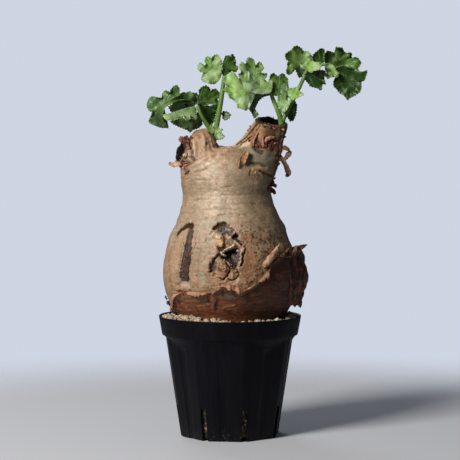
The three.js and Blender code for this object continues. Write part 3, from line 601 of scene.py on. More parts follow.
# Wrinkles and stains on the unrolled skin: width mm, relief mm, tone, strength, bearings, heights
FRONT_MARKS = [
    (1.5, -0.9, UMBER, 0.55, [(-69, 222), (-53.6, 229.3), (-34, 236)]),
    (1.2, -0.7, UMBER, 0.35, [(-44, 222), (-26, 224.5)]),
    (1.1, -0.7, UMBER, 0.5, [(-7, 209), (7, 210.7)]),
    (3, 0.5, ORANGE, 0.45, [(31, 222.9), (44, 224.4), (60, 223.5)]),
    (1.3, -0.8, UMBER, 0.9, [(31.6, 224), (30.3, 219.4)]),
    (6.5, 0, mixed(ORANGE, UMBER, 0.2), 0.6, [(-60, 226), (-66, 214), (-63, 204), (-70, 194)]),
    (0.8, -0.4, UMBER, 0.7, [(-67.4, 151.1), (-65.5, 145.4), (-62.8, 138), (-62.4, 131.1)]),
    (7, 0, mixed(ORANGE, PINK, 0.5), 0.45, [(-55.4, 156), (-56.4, 143)]),
    (5, 0, mixed(ORANGE, CREAM, 0.4), 0.35, [(-52.9, 168), (-56.8, 162.1)]),
    (9, 0, mixed(ORANGE, OLIVE, 0.5), 0.35, [(-74, 150), (-70, 128)]),
    (4, 0, MOSS, 0.6, [(-23.9, 138.7), (-24, 132.4)]),
    (6, 0, MOSS, 0.4, [(-8, 190), (-2, 184)]),
]
# Level wrinkles round the neck: bearing of one end, height, bearing of the other end
NECK_RINGS = [
    (-52, 214.6, -20), (-30, 205.4, 12), (-46, 198.8, -14), (-8, 203, 26), (-34, 191.4, 4),
    (6, 195.6, 38), (-12, 187, 20)]
for start, level, end in NECK_RINGS:
    middle = (start + end) / 2
    line = [(start, level), (middle, level + 0.9), (end, level + 0.2)]
    FRONT_MARKS.append((0.9, -0.55, UMBER, 0.28, line))
# Corky specks: bearing and height
SPECKS = [
    (-5.3, 236), (-8, 225.4), (-17.1, 207.3), (-22.7, 197.4), (-1.9, 198.3), (-26.5, 184.4),
    (7.6, 191), (13.3, 178.1), (27, 179.6), (15.5, 162), (-14.3, 168.5), (-22, 166.8),
    (4.5, 219.7), (-34.8, 218.7), (33, 166.5), (17.3, 149.1), (21.6, 144.2), (13.5, 141.1),
    (29, 154.5), (12.6, 187),
]


def washed(tint, tone, share):
    """A tone washed over a tint by a share for each point."""
    return mixed(tint, tone, share[..., None])


def laid_over(places, tint, marks, ragged, seed):
    """Marks laid over each other as brush lines: each pulls the relief and the tint to its
    own values where it lies. The places are shaken first, so its sides are ragged."""
    shifts = [rumple(np.insert(places, 2, 7 * k, -1), 1.6, seed + k) for k in (0, 1)]
    shaken = places + ragged * np.stack(shifts, -1)
    relief = np.zeros(places.shape[:-1])
    for width, lift, tone, strength, line in marks:
        bearings, heights = np.array(line, float).T
        mask = line_mask(shaken, skin_plane(bearings, heights), width)
        relief = mixed(relief, lift, mask)
        tint = washed(tint, tone, strength * smooth(mask * 1.8))
    return relief, tint


def rumples(points, broad, fine, share, seed):
    """Rumples of two sizes added up, the fine ones at a share of the broad ones' height."""
    return rumple(points, broad, seed) + share * rumple(points, fine, seed + 1)


def spots(points, size, seed, floor, steep):
    """A mask of scattered spots: where the rumples stand above a floor."""
    return smooth((rumple(points, size, seed) - floor) * steep)


def skin_tint(points):
    """The bare skin's colour: tan, with broad clouds of cream, pink and olive, orange down the left,
    faint level bands, and a browner right side with rust-red dots low down. The browner right side is
    partly the skin's own olive-brown and partly painted shade, and the far left edge is darkened as
    painted shade."""
    x, z = points[..., 0], points[..., 2]
    cloud = rumples(points, (17, 17, 26), (8, 8, 11), 0.5, 31)
    tint = washed(TAN, CREAM, smooth(0.5 + 1.1 * cloud))
    tint = washed(tint, PINK, 0.7 * smooth(rumples(points, (14, 14, 18), 5, 0.4, 33)))
    left = smooth((-x - 14) / 26) * smooth((190 - z) / 40)
    left = left * smooth(0.35 + 1.1 * rumple(points, (6, 6, 9), 35)) * 0.6
    tint = washed(tint, mixed(ORANGE, PINK, 0.3), left)
    drab = rumples(points, (10, 10, 15), 4, 0.5, 36)
    tint = washed(tint, OLIVE, 0.65 * smooth(1.3 * drab - 0.05))
    # Browner and darker to the right: partly the skin's own olive-brown, partly painted shade on the side
    # away from the light.
    tint = washed(tint, mixed(OLIVE, UMBER, 0.45), 0.82 * smooth((x + 3) / 21))
    # Darker towards the far left edge: painted shade.
    tint = tint * (1 - 0.3 * smooth((-x - 14) / 22))[..., None]
    low = smooth((168 - z) / 45)
    tint = washed(tint, mixed(ORANGE, UMBER, 0.3), 0.35 * low)
    patch = rumples(points, (5.5, 5.5, 4), 2.2, 0.5, 45)
    tint = washed(tint, OLIVE * 1.05, 0.55 * smooth(1.6 * patch - 0.15))
    tint = washed(tint, mixed(PINK, ORANGE, 0.35) * 0.92, 0.55 * smooth(-1.6 * patch - 0.15))
    middle = np.exp(-(((x + 16) / 19) ** 2)) * smooth((182 - z) / 26)
    tint = tint * (1 - middle[..., None] * np.array([0.26, 0.28, 0.33]))
    bands = rumples(points, (26, 26, 1.5), (14, 14, 0.9), 0.6, 38)
    blotch = rumples(points, (3.2, 3.2, 2.4), 1.5, 0.7, 42)
    tint = tint * (0.95 - 0.03 * low + 0.08 * bands + (0.1 + 0.12 * low) * blotch)[..., None]
    low_right = smooth((x + 4) / 18) * smooth((186 - z) / 16)
    rusty = low_right * smooth(0.3 + 1.2 * rumple(points, (7, 7, 5), 47))
    tint = washed(tint, mixed(RUST, ORANGE, 0.35), 0.45 * rusty)
    cracks = spots(points, (3.4, 3.4, 0.9), 48, 0.3, 4) * (0.3 + 0.7 * low)
    tint = washed(tint, UMBER, 0.5 * cracks)
    flecks = spots(points, (2, 2, 3), 49, 0.45, 5) * (0.4 + 0.6 * low)
    tint = washed(tint, mixed(ORANGE, UMBER, 0.25), 0.55 * flecks)
    dots = spots(points, 1.15, 40, 0.16, 4.5) * (0.24 + 0.76 * low_right)
    blots = spots(points, (2.8, 2.8, 1.8), 41, 0.52, 4) * low_right
    warts = spots(points, 2, 44, 0.5, 5) * smooth((150 - z) / 20)
    dark = np.maximum(np.maximum(dots, 0.8 * blots), 0.7 * warts)
    return washed(tint, mixed(RUST, UMBER, 0.6) * 0.5, 0.95 * dark)


def skin_form(points):
    """The relief in mm and the tint of the bottle's skin at points on it: lumps, level
    rings, wrinkles and specks."""
    middle = np.interp(points[..., 2], TRUNK_ROWS[:, 0], TRUNK_ROWS[:, 2])
    bearing = np.degrees(np.arctan2(points[..., 0] - middle, -points[..., 1] / TRUNK_DEPTH))
    plane = skin_plane(bearing, points[..., 2])
    relief, tint = laid_over(plane, skin_tint(points), FRONT_MARKS, 0.5, 1)
    relief = relief + 0.55 * rumple(points, (11, 11, 8), 51) + 0.22 * rumple(points, 3.8, 52)
    rings = rumple(points, (30, 30, 2.6), 53) * smooth((points[..., 2] - 120) / 50)
    relief = relief + 0.16 * rings
    for speck in SPECKS:
        mask = smooth(1 - np.linalg.norm(plane - skin_plane(*speck), axis=-1) / 1.25)
        tint = washed(tint, UMBER * 0.6, 0.9 * mask)
        relief = relief - 0.35 * mask
    return relief, tint, plane


def make_skin():
    """Tan skin: the painted tint under fine level grain and small warts, waxy but matt, and
    the paler the glossier."""
    material, tree, shader = new_finish("caudex skin")
    rings = mottle(tree, 110, 0.3, 0.7, (1, 1, 5))
    warts = mottle(tree, 600, 0.35, 0.7)
    tint = painted(tree)
    colour = shaded(tree, tint, rings, (0.92, 0.9, 0.87), (1.05, 1.05, 1.05))
    colour = shaded(tree, colour, warts, (0.88, 0.85, 0.82), (1.05, 1.05, 1.05))
    felt = add_node(tree, "ShaderNodeMath", {0: rings, 1: warts}, operation="ADD").outputs[0]
    roughness = ranged(tree, rings, 0.4, 0.6)
    dress(tree, shader, colour, roughness, ranged(tree, tint, 0.04, 1.3), felt, 0.13, 0.7)
    return material


SKIN = make_skin()
# Places in the skin that finer pieces fill: bearing and height, half sizes in mm
WINDOWS = {"scar": (-46.5, 153, 22, 38), "wound": (-2, 155.5, 25, 36)}


def window_depth(plane, window):
    """How far a place lies inside a rectangle with rounded corners, in mm."""
    bearing, height, half_width, half_height = window
    off = np.abs(plane - skin_plane(bearing, height)) / np.array([half_width, half_height])
    return (1 - np.sum(off**6, axis=-1) ** (1 / 6)) * min(half_width, half_height)


# Marks on the arms and the knob as seen from the front: width, relief, tone, strength, x and z
SHOULDER_MARKS = [
    # Painted shade: the grey-green patch darkened on the side away from the light.
    (9.5, -0.3, mixed(GREY, MOSS, 0.6) * 0.62, 0.85, [(17, 236), (30, 232)]),
    (5, -0.9, RUST * 1.2, 0.85, [(19, 247), (28, 245), (36, 243)]),
    (2.2, -1.6, UMBER * 0.4, 0.9, [(23, 243.6), (30, 242.4), (34, 244)]),
    (2.4, 1.1, mixed(PINK, ORANGE, 0.45), 0.9, [(20.5, 250), (18.8, 245)]),
    (1.8, 0.9, mixed(PINK, CREAM, 0.4), 0.9, [(25, 248), (27.5, 246.4)]),
    (1.6, -1.2, UMBER * 0.35, 0.9, [(20.5, 241), (21.4, 240.4)]),
    (3.4, 0.3, CREAM, 0.7, [(9, 243), (15, 246.5)]),
    (2.8, 1.2, mixed(PINK, ORANGE, 0.3), 0.7, [(1, 243.4), (4.4, 243.6)]),
    (1.3, -1.1, UMBER * 0.6, 0.8, [(-10, 245.4), (-9, 242.6)]),
    (1.8, -1, UMBER * 0.8, 0.55, [(-25.4, 252), (-25, 250.6)]),
    (2, -1.1, UMBER * 0.7, 0.6, [(-19.4, 245.6), (-19, 244.8)]),
    (2.2, -1.4, UMBER * 0.5, 0.75, [(-31.2, 238.6), (-30.8, 237.2)]),
    (2.2, -1.5, UMBER * 0.4, 0.8, [(-31.6, 234), (-30.6, 232.4)]),
    (1.8, -1.2, UMBER * 0.6, 0.7, [(-33.4, 247), (-32.6, 242), (-31.4, 239)]),
    (1.7, 1.1, mixed(CREAM, ORANGE, 0.35), 0.7, [(-31, 248), (-29, 242), (-29.4, 236)]),
    (1.6, -0.9, UMBER, 0.5, [(-27.6, 247), (-27, 241), (-27.6, 235)]),
    (1.8, 0.9, mixed(PINK, ORANGE, 0.3), 0.5, [(-22, 252), (-21.4, 246), (-20.8, 240)]),
    (1.5, -0.7, UMBER, 0.45, [(-17.6, 250), (-16.4, 244), (-14.4, 239)]),
    (1.4, -0.8, mixed(UMBER, OLIVE, 0.3), 0.45, [(-31, 225.4), (-24, 229), (-18, 234)]),
    (1.3, -0.7, mixed(UMBER, OLIVE, 0.3), 0.4, [(-28, 221.6), (-20, 225), (-14, 229.4)]),
    (3.6, -0.4, mixed(RUST, ORANGE, 0.35), 0.85, [(-36.8, 250), (-36.2, 243)]),
    (2.6, 0.5, mixed(PINK, ORANGE, 0.15), 0.9, [(-35.4, 241.6), (-35.6, 236), (-37.6, 232)]),
    (2.6, -0.8, RUST * 0.8, 0.9, [(-41, 229.6), (-36.6, 228.4), (-34.4, 229.6)]),
    (2.6, 0.6, mixed(ORANGE, UMBER, 0.4), 0.8, [(-38.6, 225), (-36.6, 222.6)]),
    # Painted shade: deep orange-brown over the arm's shaded right.
    (12, 0, mixed(ORANGE, UMBER, 0.95) * 0.4, 0.92, [(33, 258), (35, 246)]),
    (7, 0, mixed(ORANGE, UMBER, 0.45), 0.75, [(22, 260), (25, 255)]),
    (2.6, 0.9, mixed(ORANGE, CREAM, 0.15), 0.8, [(36, 249.6), (30.5, 249)]),
    # Painted shadow under the ridge above it.
    (2.4, -1.3, UMBER * 0.3, 0.95, [(36.4, 247.4), (31, 246.6), (29, 243.4)]),
    (5.6, -0.5, RUST * 0.9, 0.9, [(20, 246.4), (28, 244.4), (36, 243)]),
    (3, -1.6, UMBER * 0.35, 0.9, [(19.4, 243), (23.6, 239.8), (26.6, 238.6)]),
    (1.6, -1, UMBER * 0.5, 0.7, [(16.6, 229.6), (24, 229.4), (30, 226.4)]),
    (2.4, 0.6, mixed(ORANGE, CREAM, 0.2) * 0.75, 0.75, [(20, 224.6), (26, 225.2), (31, 222.6)]),
    (1.7, -1.3, UMBER * 0.4, 0.85, [(25, 222.6), (31.6, 219.6), (34, 219)]),
    # Painted shade: dark bands down the shaded right edge of the arm and neck.
    (11, 0, mixed(UMBER, BLACK, 0.5), 0.9, [(45, 262), (46, 244), (44, 228), (41, 212)]),
    (5, -0.2, mixed(UMBER, OLIVE, 0.3), 0.75, [(40, 262), (44, 240), (41, 222)]),
]

# Hollow cut ends: the arm's last row, the way the cut faces, the hollow's radius and depth
CUT_ENDS = ((RIGHT_ARM[-1], RIGHT_CUT, 10.5, 3.5), (LEFT_STUB[-1], LEFT_CUT, 9.5, 8))


def make_trunk():
    """The joined skin, then its relief: that of the bottle, furrows down the knob, folds
    that fan out from the torn arm, and hollows at both cut ends."""
    points, faces, normals = grown_together(trunk_shells())
    x, y, height = points.T
    form, tint, plane = skin_form(points)
    front = smooth(-normals[:, 1] * 2 + 0.4)
    lift = form + 0.3 * rumple(points, 6, 50) * smooth((height - 215) / 15)
    above = smooth((height - 228) / 10)
    left = smooth((4 - x) / 6) * above
    furrow = rumple(points * [1, 1, 0.16] + [0, 0, 40], 3.2, 54)
    lift += left * (0.85 * furrow + 0.6 * rumple(points, 2.6, 55))
    right = smooth((x - 6) / 8) * above
    lift += right * (0.8 * rumple(points * [0.4, 0.4, 1], 2.6, 56) + 0.6 * rumple(points, 4, 57))
    turned = np.degrees(np.arctan2(height - 205, x + 62)) * 0.9
    fan_folds = rumple(joined(turned, y * 0.1, height * 0.05), 2.2, 58)
    lift += 0.9 * line_mask(points, [(-38, -14, 222), (-20, -26, 236)], 19) * fan_folds
    tint = washed(tint, mixed(ORANGE, PINK, 0.4), 0.45 * left)
    tint = washed(tint, mixed(ORANGE, UMBER, 0.45), 0.75 * smooth(0.15 - furrow * 1.3) * left)
    # Patchy umber-olive over the right of the arms: painted shade on the side away from the light.
    right_shade_patches = smooth(0.35 + 0.9 * rumple(points, (5, 5, 2.4), 59)) * smooth((x - 18) / 8)
    tint = washed(tint, mixed(UMBER, OLIVE, 0.25), 0.8 * right * right_shade_patches)
    shaken = np.stack([rumple(points, 1.8, 60), rumple(points, 1.8, 61)], -1)
    seen = points[:, [0, 2]] + 0.6 * shaken
    for width, depth, tone, strength, line in SHOULDER_MARKS:
        mask = line_mask(seen, line, width) * front
        lift = mixed(lift, lift + depth, mask)
        tint = washed(tint, tone, strength * smooth(mask * 1.6))
    for end, cut, radius, deep in CUT_ENDS:
        off = points - end[:3]
        out = off @ unit(cut)
        across = np.linalg.norm(off - out[:, None] * unit(cut), axis=1)
        on_cut = smooth((out + 4.5) / 3)
        pit = smooth((radius - across) / (0.55 * radius)) * on_cut
        tint = washed(tint, UMBER * 0.6, 0.9 * smooth((radius + 4.5 - across) / 4) * on_cut)
        # Black inside each hollow: painted shade, where the hollow's walls would otherwise show lit. The
        # dark brown ring round it is the torn rim's own colour.
        tint = washed(tint, BLACK, smooth((radius + 1 - across) / 2) * on_cut)
        points = points - unit(cut) * (deep * pit)[:, None]
    for window in WINDOWS.values():
        lift -= 5.5 * smooth((window_depth(plane, window) - 4.5) / 3) * front
    return points + normals * lift[:, None], faces, tint


trunk_points, trunk_faces, trunk_tint = make_trunk()
place_piece("trunk", "caudex_skin", ["caudex"], SKIN, trunk_points, trunk_faces, trunk_tint)


# WOUNDS. Two old injuries in the front of the trunk, healed open: a long shallow scar with a
# hook at its top, and a deep pit between curled lips of skin. Each is a plug let into the skin.
def slab(front, thickness, around=False):
    """A sheet with a thickness over a grid of points: the grid moved half of it each way
    along its own normals, and closed along its free edges."""
    rows, columns = front.shape[:2]
    if around:
        wrapped = np.concatenate([front[:, -1:], front, front[:, :1]], axis=1)
        across = np.gradient(wrapped, axis=1)[:, 1:-1]
    else:
        across = np.gradient(front, axis=1)
    normal = unit(np.cross(across, np.gradient(front, axis=0)))
    half = np.broadcast_to(thickness, (rows, columns))[..., None] / 2
    points = np.concatenate([front + normal * half, front - normal * half]).reshape(-1, 3)
    faces = grid_faces(rows, columns, around)
    count = rows * columns
    index = np.arange(count).reshape(rows, columns)
    if around:
        rims = [np.append(index[0], index[0, 0]), np.append(index[-1], index[-1, 0])[::-1]]
    else:
        rims = [np.concatenate([index[0], index[1:, -1], index[-1, -2::-1], index[-2::-1, 0]])]
    sides = [np.stack([rim[:-1], rim[:-1] + count, rim[1:] + count, rim[1:]], -1) for rim in rims]
    return points, np.concatenate([faces, faces[:, ::-1] + count, *sides])


SCAR_MARKS = [
    (3, 0.4, CREAM, 0.4, [(-45, 129), (-37, 128.6)]),
    (7, -0.2, mixed(TAN, UMBER, 0.4), 0.6, [(-43.6, 172), (-42.4, 152), (-41.2, 134)]),
    (4.6, -1.5, UMBER * 0.42, 0.95, [(-42.6, 176.4), (-41.6, 168), (-41, 160)]),
    (5.8, -1.7, mixed(UMBER, PURPLE, 0.5) * 0.45, 0.97, [
        (-41, 160), (-41, 150), (-41.6, 143), (-41.8, 134.6)]),
    (1.6, -0.9, LILAC * 0.45, 0.7, [(-41.6, 174), (-40.6, 166), (-40.6, 156)]),
    (1.4, -1.9, BLACK * 2, 0.9, [(-45.4, 162), (-46.2, 152), (-46.8, 143), (-46.6, 135)]),
    (3.2, -1.9, UMBER * 0.22, 0.97, [
        (-60.4, 170.6), (-57.4, 173.6), (-53.4, 176.4), (-48.3, 178.8), (-43.4, 178)]),
    (1.3, -1.7, PURPLE * 0.4, 0.9, [
        (-38.4, 173), (-37.6, 166), (-37.2, 157), (-37, 149.7), (-37.4, 141.1), (-37.8, 134)]),
    (0.8, -0.7, UMBER, 0.7, [
        (-47.4, 163.6), (-48.4, 154.4), (-48.6, 146.4), (-49.1, 137.7), (-49.5, 131.8),
        (-47.5, 127.9)]),
    (2.2, -0.3, GREY, 0.85, [(-43.5, 131.2), (-38.6, 130.6)]),
    (1, -0.5, RUST, 0.85, [(-31.8, 164.6), (-33.5, 159.5)]),
    (0.9, -0.5, RUST, 0.8, [(-35, 155.5), (-38, 154.8)]),
    (1, -0.5, RUST, 0.8, [(-34, 167.2), (-33.9, 166.6)]),
    (0.9, 0.2, CREAM, 0.4, [(-50, 180.6), (-44.6, 181.4)]),
]
# The black marks, set deepest, are painted shade in the pit's hole and gaps.
WOUND_MARKS = [
    (13, -0.5, mixed(TAN, ORANGE, 0.45), 0.55, [(-4, 170), (2, 160), (-4, 144)]),
    (8, -1.2, mixed(ORANGE, UMBER, 0.5), 0.75, [(3, 166), (1, 156), (-4, 145), (2, 139)]),
    (6.5, -0.6, mixed(ORANGE, UMBER, 0.35), 0.6, [(-14, 150), (-13, 138), (-4, 133), (8, 136)]),
    (7, -0.4, mixed(RUST, ORANGE, 0.4), 0.5, [(16, 166), (18, 152), (16, 140)]),
    (7, -3.4, UMBER * 0.32, 0.95, [(-5, 154.6), (1, 155.4), (4.6, 156)]),
    (5.4, -3.2, PURPLE * 0.4, 0.95, [(1, 153), (4, 148)]),
    (3.2, -1.4, mixed(PINK, PURPLE, 0.6), 0.9, [(8.4, 161), (8.6, 152), (7.8, 148)]),
    (5, -2.2, LILAC * 0.36, 0.95, [(-9, 176.2), (-4.5, 176.4), (1.6, 174)]),
    (1.6, -1.1, GREY * 0.9, 0.9, [(-2.6, 176.4), (1.2, 175.4)]),
    (2.2, -2.6, UMBER * 0.28, 0.97, [
        (-15.4, 175.6), (-13.2, 177.5), (-10.7, 179.3), (-6.9, 180.4), (-3.3, 180)]),
    (0.9, -1, UMBER, 0.7, [(-3.3, 180), (2.5, 176.9), (6, 174.6)]),
    (3.4, 1, mixed(PINK, CREAM, 0.4), 0.9, [(-14.6, 171), (-8.9, 169.4)]),
    (2.8, 0.7, ORANGE * 1.35, 0.85, [(-9, 167.6), (-6, 163.4)]),
    (1, -0.6, OLIVE * 0.6, 0.9, [(-19.2, 171.6), (-15.7, 173.9), (-10.7, 172.9), (-6.9, 172.3)]),
    (2.6, -2.2, UMBER * 0.6, 0.9, [(-5, 172), (-3.4, 166), (-4, 161.8)]),
    (3.4, -1.5, OLIVE * 0.5, 0.9, [(-0.6, 165.4), (3.4, 163.6)]),
    (2, -0.5, PINK * 0.75, 0.85, [(-1.8, 170.6), (1.4, 168.7)]),
    (3, -2.9, UMBER * 0.3, 0.95, [(-8.6, 160.4), (-3.7, 160.2)]),
    # Painted shade: the black hole.
    (3, -4.4, BLACK, 1, [(4.6, 169.6), (7.4, 170.4)]),
    (2, -2.9, PURPLE * 0.45, 0.95, [(7, 168.4), (9.6, 165.2), (11.8, 162.6)]),
    (0.9, 0.4, PINK, 0.9, [(6.2, 165.2), (8.8, 163.4), (10.8, 162)]),
    # Painted shade: black in the deepest gaps of the pit.
    (3.6, -4.8, BLACK, 1, [(-4.6, 155.6), (1.6, 156.6), (6.6, 158.4)]),
    (4.2, -4.9, BLACK, 1, [(1.4, 156), (0.6, 151.6)]),
    (1.7, -3.8, BLACK, 0.95, [(-7.4, 153.4), (0.4, 151.4)]),
    (2.4, -3.4, PURPLE * 0.45, 0.95, [(0.2, 151.3), (3.8, 147.1)]),
    (2.2, -2, GREY * 0.32, 0.9, [(3.2, 155), (5, 150.6)]),
    (1.8, -1.3, PURPLE * 1.4, 0.85, [(7.6, 157), (7.8, 153), (6.6, 149.2)]),
    (1.1, 0.2, CREAM * 0.85, 0.85, [(6.6, 158.9), (8.2, 158.6)]),
    (1.2, -1.9, UMBER * 0.4, 0.95, [
        (14.9, 160.6), (12.9, 157.3), (11.3, 154.7), (11.6, 151.2), (10.2, 146.6)]),
    (1.1, 1.2, mixed(ORANGE, CREAM, 0.4) * 0.85, 0.95, [
        (12.9, 162.6), (12.2, 159.6), (10.3, 156.2), (9.3, 152), (8.8, 149.3), (7.8, 146)]),
    (3, -1.6, PURPLE * 1.2, 0.9, [(-12.4, 151), (-13.6, 143)]),
    (1.9, -2.8, PURPLE * 0.28, 0.95, [
        (-8.2, 156.8), (-11.9, 153.4), (-14.9, 149.3), (-16.6, 145.4), (-16.6, 141.4)]),
    (5.4, 1.2, mixed(ORANGE, UMBER, 0.68), 0.92, [(-8.4, 145.4), (-5.4, 142)]),
    (1.6, 1.5, mixed(ORANGE, PINK, 0.4) * 0.8, 0.75, [(-9.6, 148.4), (-5.6, 147), (-3.6, 143.4)]),
    (1.3, 0.2, UMBER * 0.5, 0.8, [(-9.4, 143.6), (-6.4, 141.4)]),
    (2.4, 0.3, OLIVE, 0.85, [(-11, 150.3), (-8.1, 149.8)]),
    (0.9, 0.4, PINK, 0.8, [(-5, 151), (-1.6, 148.4), (0.6, 146.8)]),
    # Painted shade: the black gap between the lumps.
    (1.2, -2.6, BLACK, 0.95, [
        (-4.1, 149.4), (-0.4, 145.6), (0.4, 144), (-0.8, 141), (-2.8, 137.6), (-5.2, 134.8),
        (-9, 136)]),
    (2.7, 0.3, mixed(PINK, ORANGE, 0.4) * 0.62, 0.9, [(2.9, 141.4), (2.4, 137.6)]),
    (0.9, -0.4, UMBER * 0.5, 0.8, [(1.6, 142.6), (3.4, 139.4), (3, 136.6)]),
    (1.1, -2, UMBER * 0.35, 0.95, [
        (1.9, 144), (4.2, 144.4), (6.1, 142.3), (7.4, 139.3), (5.9, 135.6), (1.9, 134.6),
        (-0.6, 135.2)]),
    (1.4, 0, LILAC * 0.7, 0.7, [(2.7, 132.8), (5.1, 133.6)]),
    (0.8, -1, UMBER * 0.5, 0.9, [(-12.2, 140.5), (-13.5, 138.2)]),
    (0.8, -0.9, RUST * 0.8, 0.9, [(-15.3, 136.1), (-15.3, 135.6)]),
    (0.8, -0.9, UMBER * 0.5, 0.9, [(-8.3, 131.6), (-8.1, 130)]),
    (2.4, 0.3, CREAM * 0.8, 0.5, [(3.5, 130.6), (8.9, 134.2)]),
    (1, 2.2, CREAM * 1.05, 1, [(-5.6, 157.9), (-1.6, 159.5), (1.9, 161.1), (5.5, 162.7)]),
    (0.9, 1.2, CREAM * 1.05, 1, [(-7.8, 157.2), (-6.8, 155.2), (-3.9, 154.5)]),
]


def make_plug(window, marks, step, seed):
    """A plug of skin over a window: the trunk's own surface with the marks' relief and tints.
    It lies a tenth of a millimetre proud, and its border sinks into the skin around it."""
    bearing, height, half_width, half_height = window
    turn = np.degrees(np.arange(-half_width, half_width + step, step) / UNROLLED) + bearing
    level = np.arange(-half_height, half_height + step, step) + height
    bearings, heights = np.meshgrid(turn, level)
    base = trunk_skin(bearings, heights)
    form, tint, plane = skin_form(base)
    relief, tint = laid_over(plane, tint, marks, 0.8, seed)
    worn = smooth(np.abs(relief) / 0.8)
    rough = 0.45 * rumple(base, 1.3, seed + 6) + 0.2 * rumple(base, 0.7, seed + 8)
    relief = relief + worn * rough
    tint = tint * (1 + 0.55 * worn * rumple(base, 1, seed + 7))[..., None]
    inside = smooth(window_depth(plane, window) / 4)
    lift = form + relief * inside + mixed(-0.25, 0.12, inside)
    normal = unit(np.cross(np.gradient(base, axis=1), np.gradient(base, axis=0)))
    points, faces = slab(base + normal * lift[..., None], 0.3)
    return points, faces, np.tile(tint.reshape(-1, 3), (2, 1))


for name, marks, step, seed in (("scar", SCAR_MARKS, 0.4, 70), ("wound", WOUND_MARKS, 0.36, 80)):
    plug = make_plug(WINDOWS[name], marks, step, seed)
    place_piece(name + "_plug", "caudex_skin", ["caudex"], SKIN, *plug)


# BARK. Last year's outer bark, papery and red-brown, still wrapped round the foot of the trunk.
# Its upper edge has torn free and curled out, showing the paler inside.
BARK_EDGE = np.array([
    [-180, 131], [-160, 128], [-140, 130], [-122, 118], [-106, 108], [-84, 105], [-72, 106.5],
    [-61, 113], [-50, 121], [-43, 124.5], [-34, 124], [-17, 123.5], [-12, 121], [-7, 129], [0, 129.5],
    [9, 125], [17, 129], [24, 132], [29, 136], [33, 140.5], [36, 146], [41, 150], [54, 154.5],
    [68, 157.5], [84, 160], [98, 158], [116, 146], [134, 150], [156, 139], [180, 131],
])
BARK_RED = np.array([0.135, 0.046, 0.019])
BARK_DARK = np.array([0.062, 0.022, 0.011])
BARK_PALE = np.array([0.4, 0.22, 0.125])
BARK_LIT_ORANGE = np.array([0.17, 0.064, 0.026])


def make_bark_finish():
    """Papery bark: the painted tint under long level fibres, smooth with a soft sheen."""
    material, tree, shader = new_finish("papery bark")
    fibres = mottle(tree, 60, 0.3, 0.7, (1, 1, 4))
    scales = mottle(tree, 300, 0.35, 0.7, (1, 1, 1.6))
    colour = shaded(tree, painted(tree), fibres, (0.84, 0.8, 0.77), (1.12, 1.1, 1.08))
    colour = shaded(tree, colour, scales, (0.84, 0.8, 0.78), (1.08, 1.08, 1.06))
    felt = add_node(tree, "ShaderNodeMath", {0: fibres, 1: scales}, operation="ADD").outputs[0]
    dress(tree, shader, colour, ranged(tree, fibres, 0.6, 0.42), 0.3, felt, 0.3, 0.8)
    return material


BARK = make_bark_finish()
ROLL = 5  # mm of the sheet that turn outwards at its edge
# Folds of the wrap as brush lines: width, height, tone, strength, bearings and heights. The lighter tones
# on the raised folds are painted highlights, and the dark tones in the sunken creases and under the
# drooping lip are painted shade.
BARK_FOLD_HIGHLIGHTS_AND_SHADE = [
    (1.7, 0.5, BARK_RED * 1.5, 0.55, [(-41, 115.6), (-34, 116.6), (-28.4, 115.9)]),
    (1.4, 0.5, BARK_RED * 1.5, 0.5, [(-29.1, 112.5), (-20.1, 113.2), (-15.2, 118.6)]),
    (1.2, 0.5, BARK_PALE * 0.5, 0.4, [(-6.6, 111.4), (-1, 113), (4.6, 113.4)]),
    (1, 0.4, BARK_PALE * 0.35, 0.35, [(17.6, 114.6), (22, 115.8), (29.4, 115.4)]),
    (2.4, -1, BARK_DARK * 0.7, 0.65, [(-13, 122), (-10.4, 117.7), (-12.4, 110.3)]),
    (2, 0.8, BARK_RED * 1.7, 0.5, [(-17, 121), (-14.4, 116), (-16, 108.3)]),
    (2.6, -1.1, BARK_DARK * 0.6, 0.75, [(-37, 119.8), (-30, 119.2), (-22, 118.4), (-18, 115.8)]),
    (3.4, -1, (0.075, 0.055, 0.05), 0.75, [(-4.4, 122.6), (5, 121.9)]),
    (1, 0.4, BARK_RED * 1.2, 0.35, [(18, 121), (26, 122.4)]),
    (1, 0.3, BARK_RED * 1.2, 0.3, [(24, 108.5), (34, 109.3)]),
    (1.6, 0.5, BARK_RED * 1.4, 0.5, [(-60, 108), (-50, 107), (-40, 108)]),
    (1.4, 0.4, BARK_RED * 1.7, 0.5, [(-47, 114), (-44, 108), (-45, 103)]),
    (1.4, -0.5, BARK_DARK, 0.5, [(-33, 112), (-31, 106), (-32, 102)]),
    (1.3, 0.4, BARK_RED * 1.5, 0.4, [(-24, 111), (-22.6, 105), (-23, 101)]),
]


def bark_sheet(bearings, low, high, curl, rows, seed):
    """A sheet of bark on the trunk. It climbs from a low line to a high one and turns
    outwards over its last few millimetres by an angle, so its inside shows. Each column
    adds up small steps up and out. It has level wrinkles, and gives its points and how
    near each is to the edge."""
    share = np.linspace(0, 1, rows)[:, None]
    length = (high - low) + ROLL * 0.35
    travelled = share * length
    bend = np.radians(curl) * smooth((travelled - length + ROLL) / ROLL) ** 0.8
    step = length / (rows - 1)
    rise = np.cumsum(np.cos(bend) * step, axis=0) - step
    out = np.cumsum(np.sin(bend) * step, axis=0) - step * np.sin(bend[:1])
    height = low + rise
    place = trunk_skin(bearings, height)
    wrinkle = 0.5 * rumple(place, (20, 20, 7), seed) + 0.12 * rumple(place, (12, 12, 1.8), seed + 1)
    wrinkle += 0.7 * rumple(place, (10, 10, 9), seed + 2)
    wrinkle += 0.22 * rumple(place, (3, 3, 1.6), seed + 3)
    free = smooth((travelled - length + 9) / 9)
    stand = 1.1 + out + wrinkle * (0.55 + 0.5 * free)
    return trunk_skin(bearings, height, stand), smooth((travelled - length + 4.2) / 3.2)


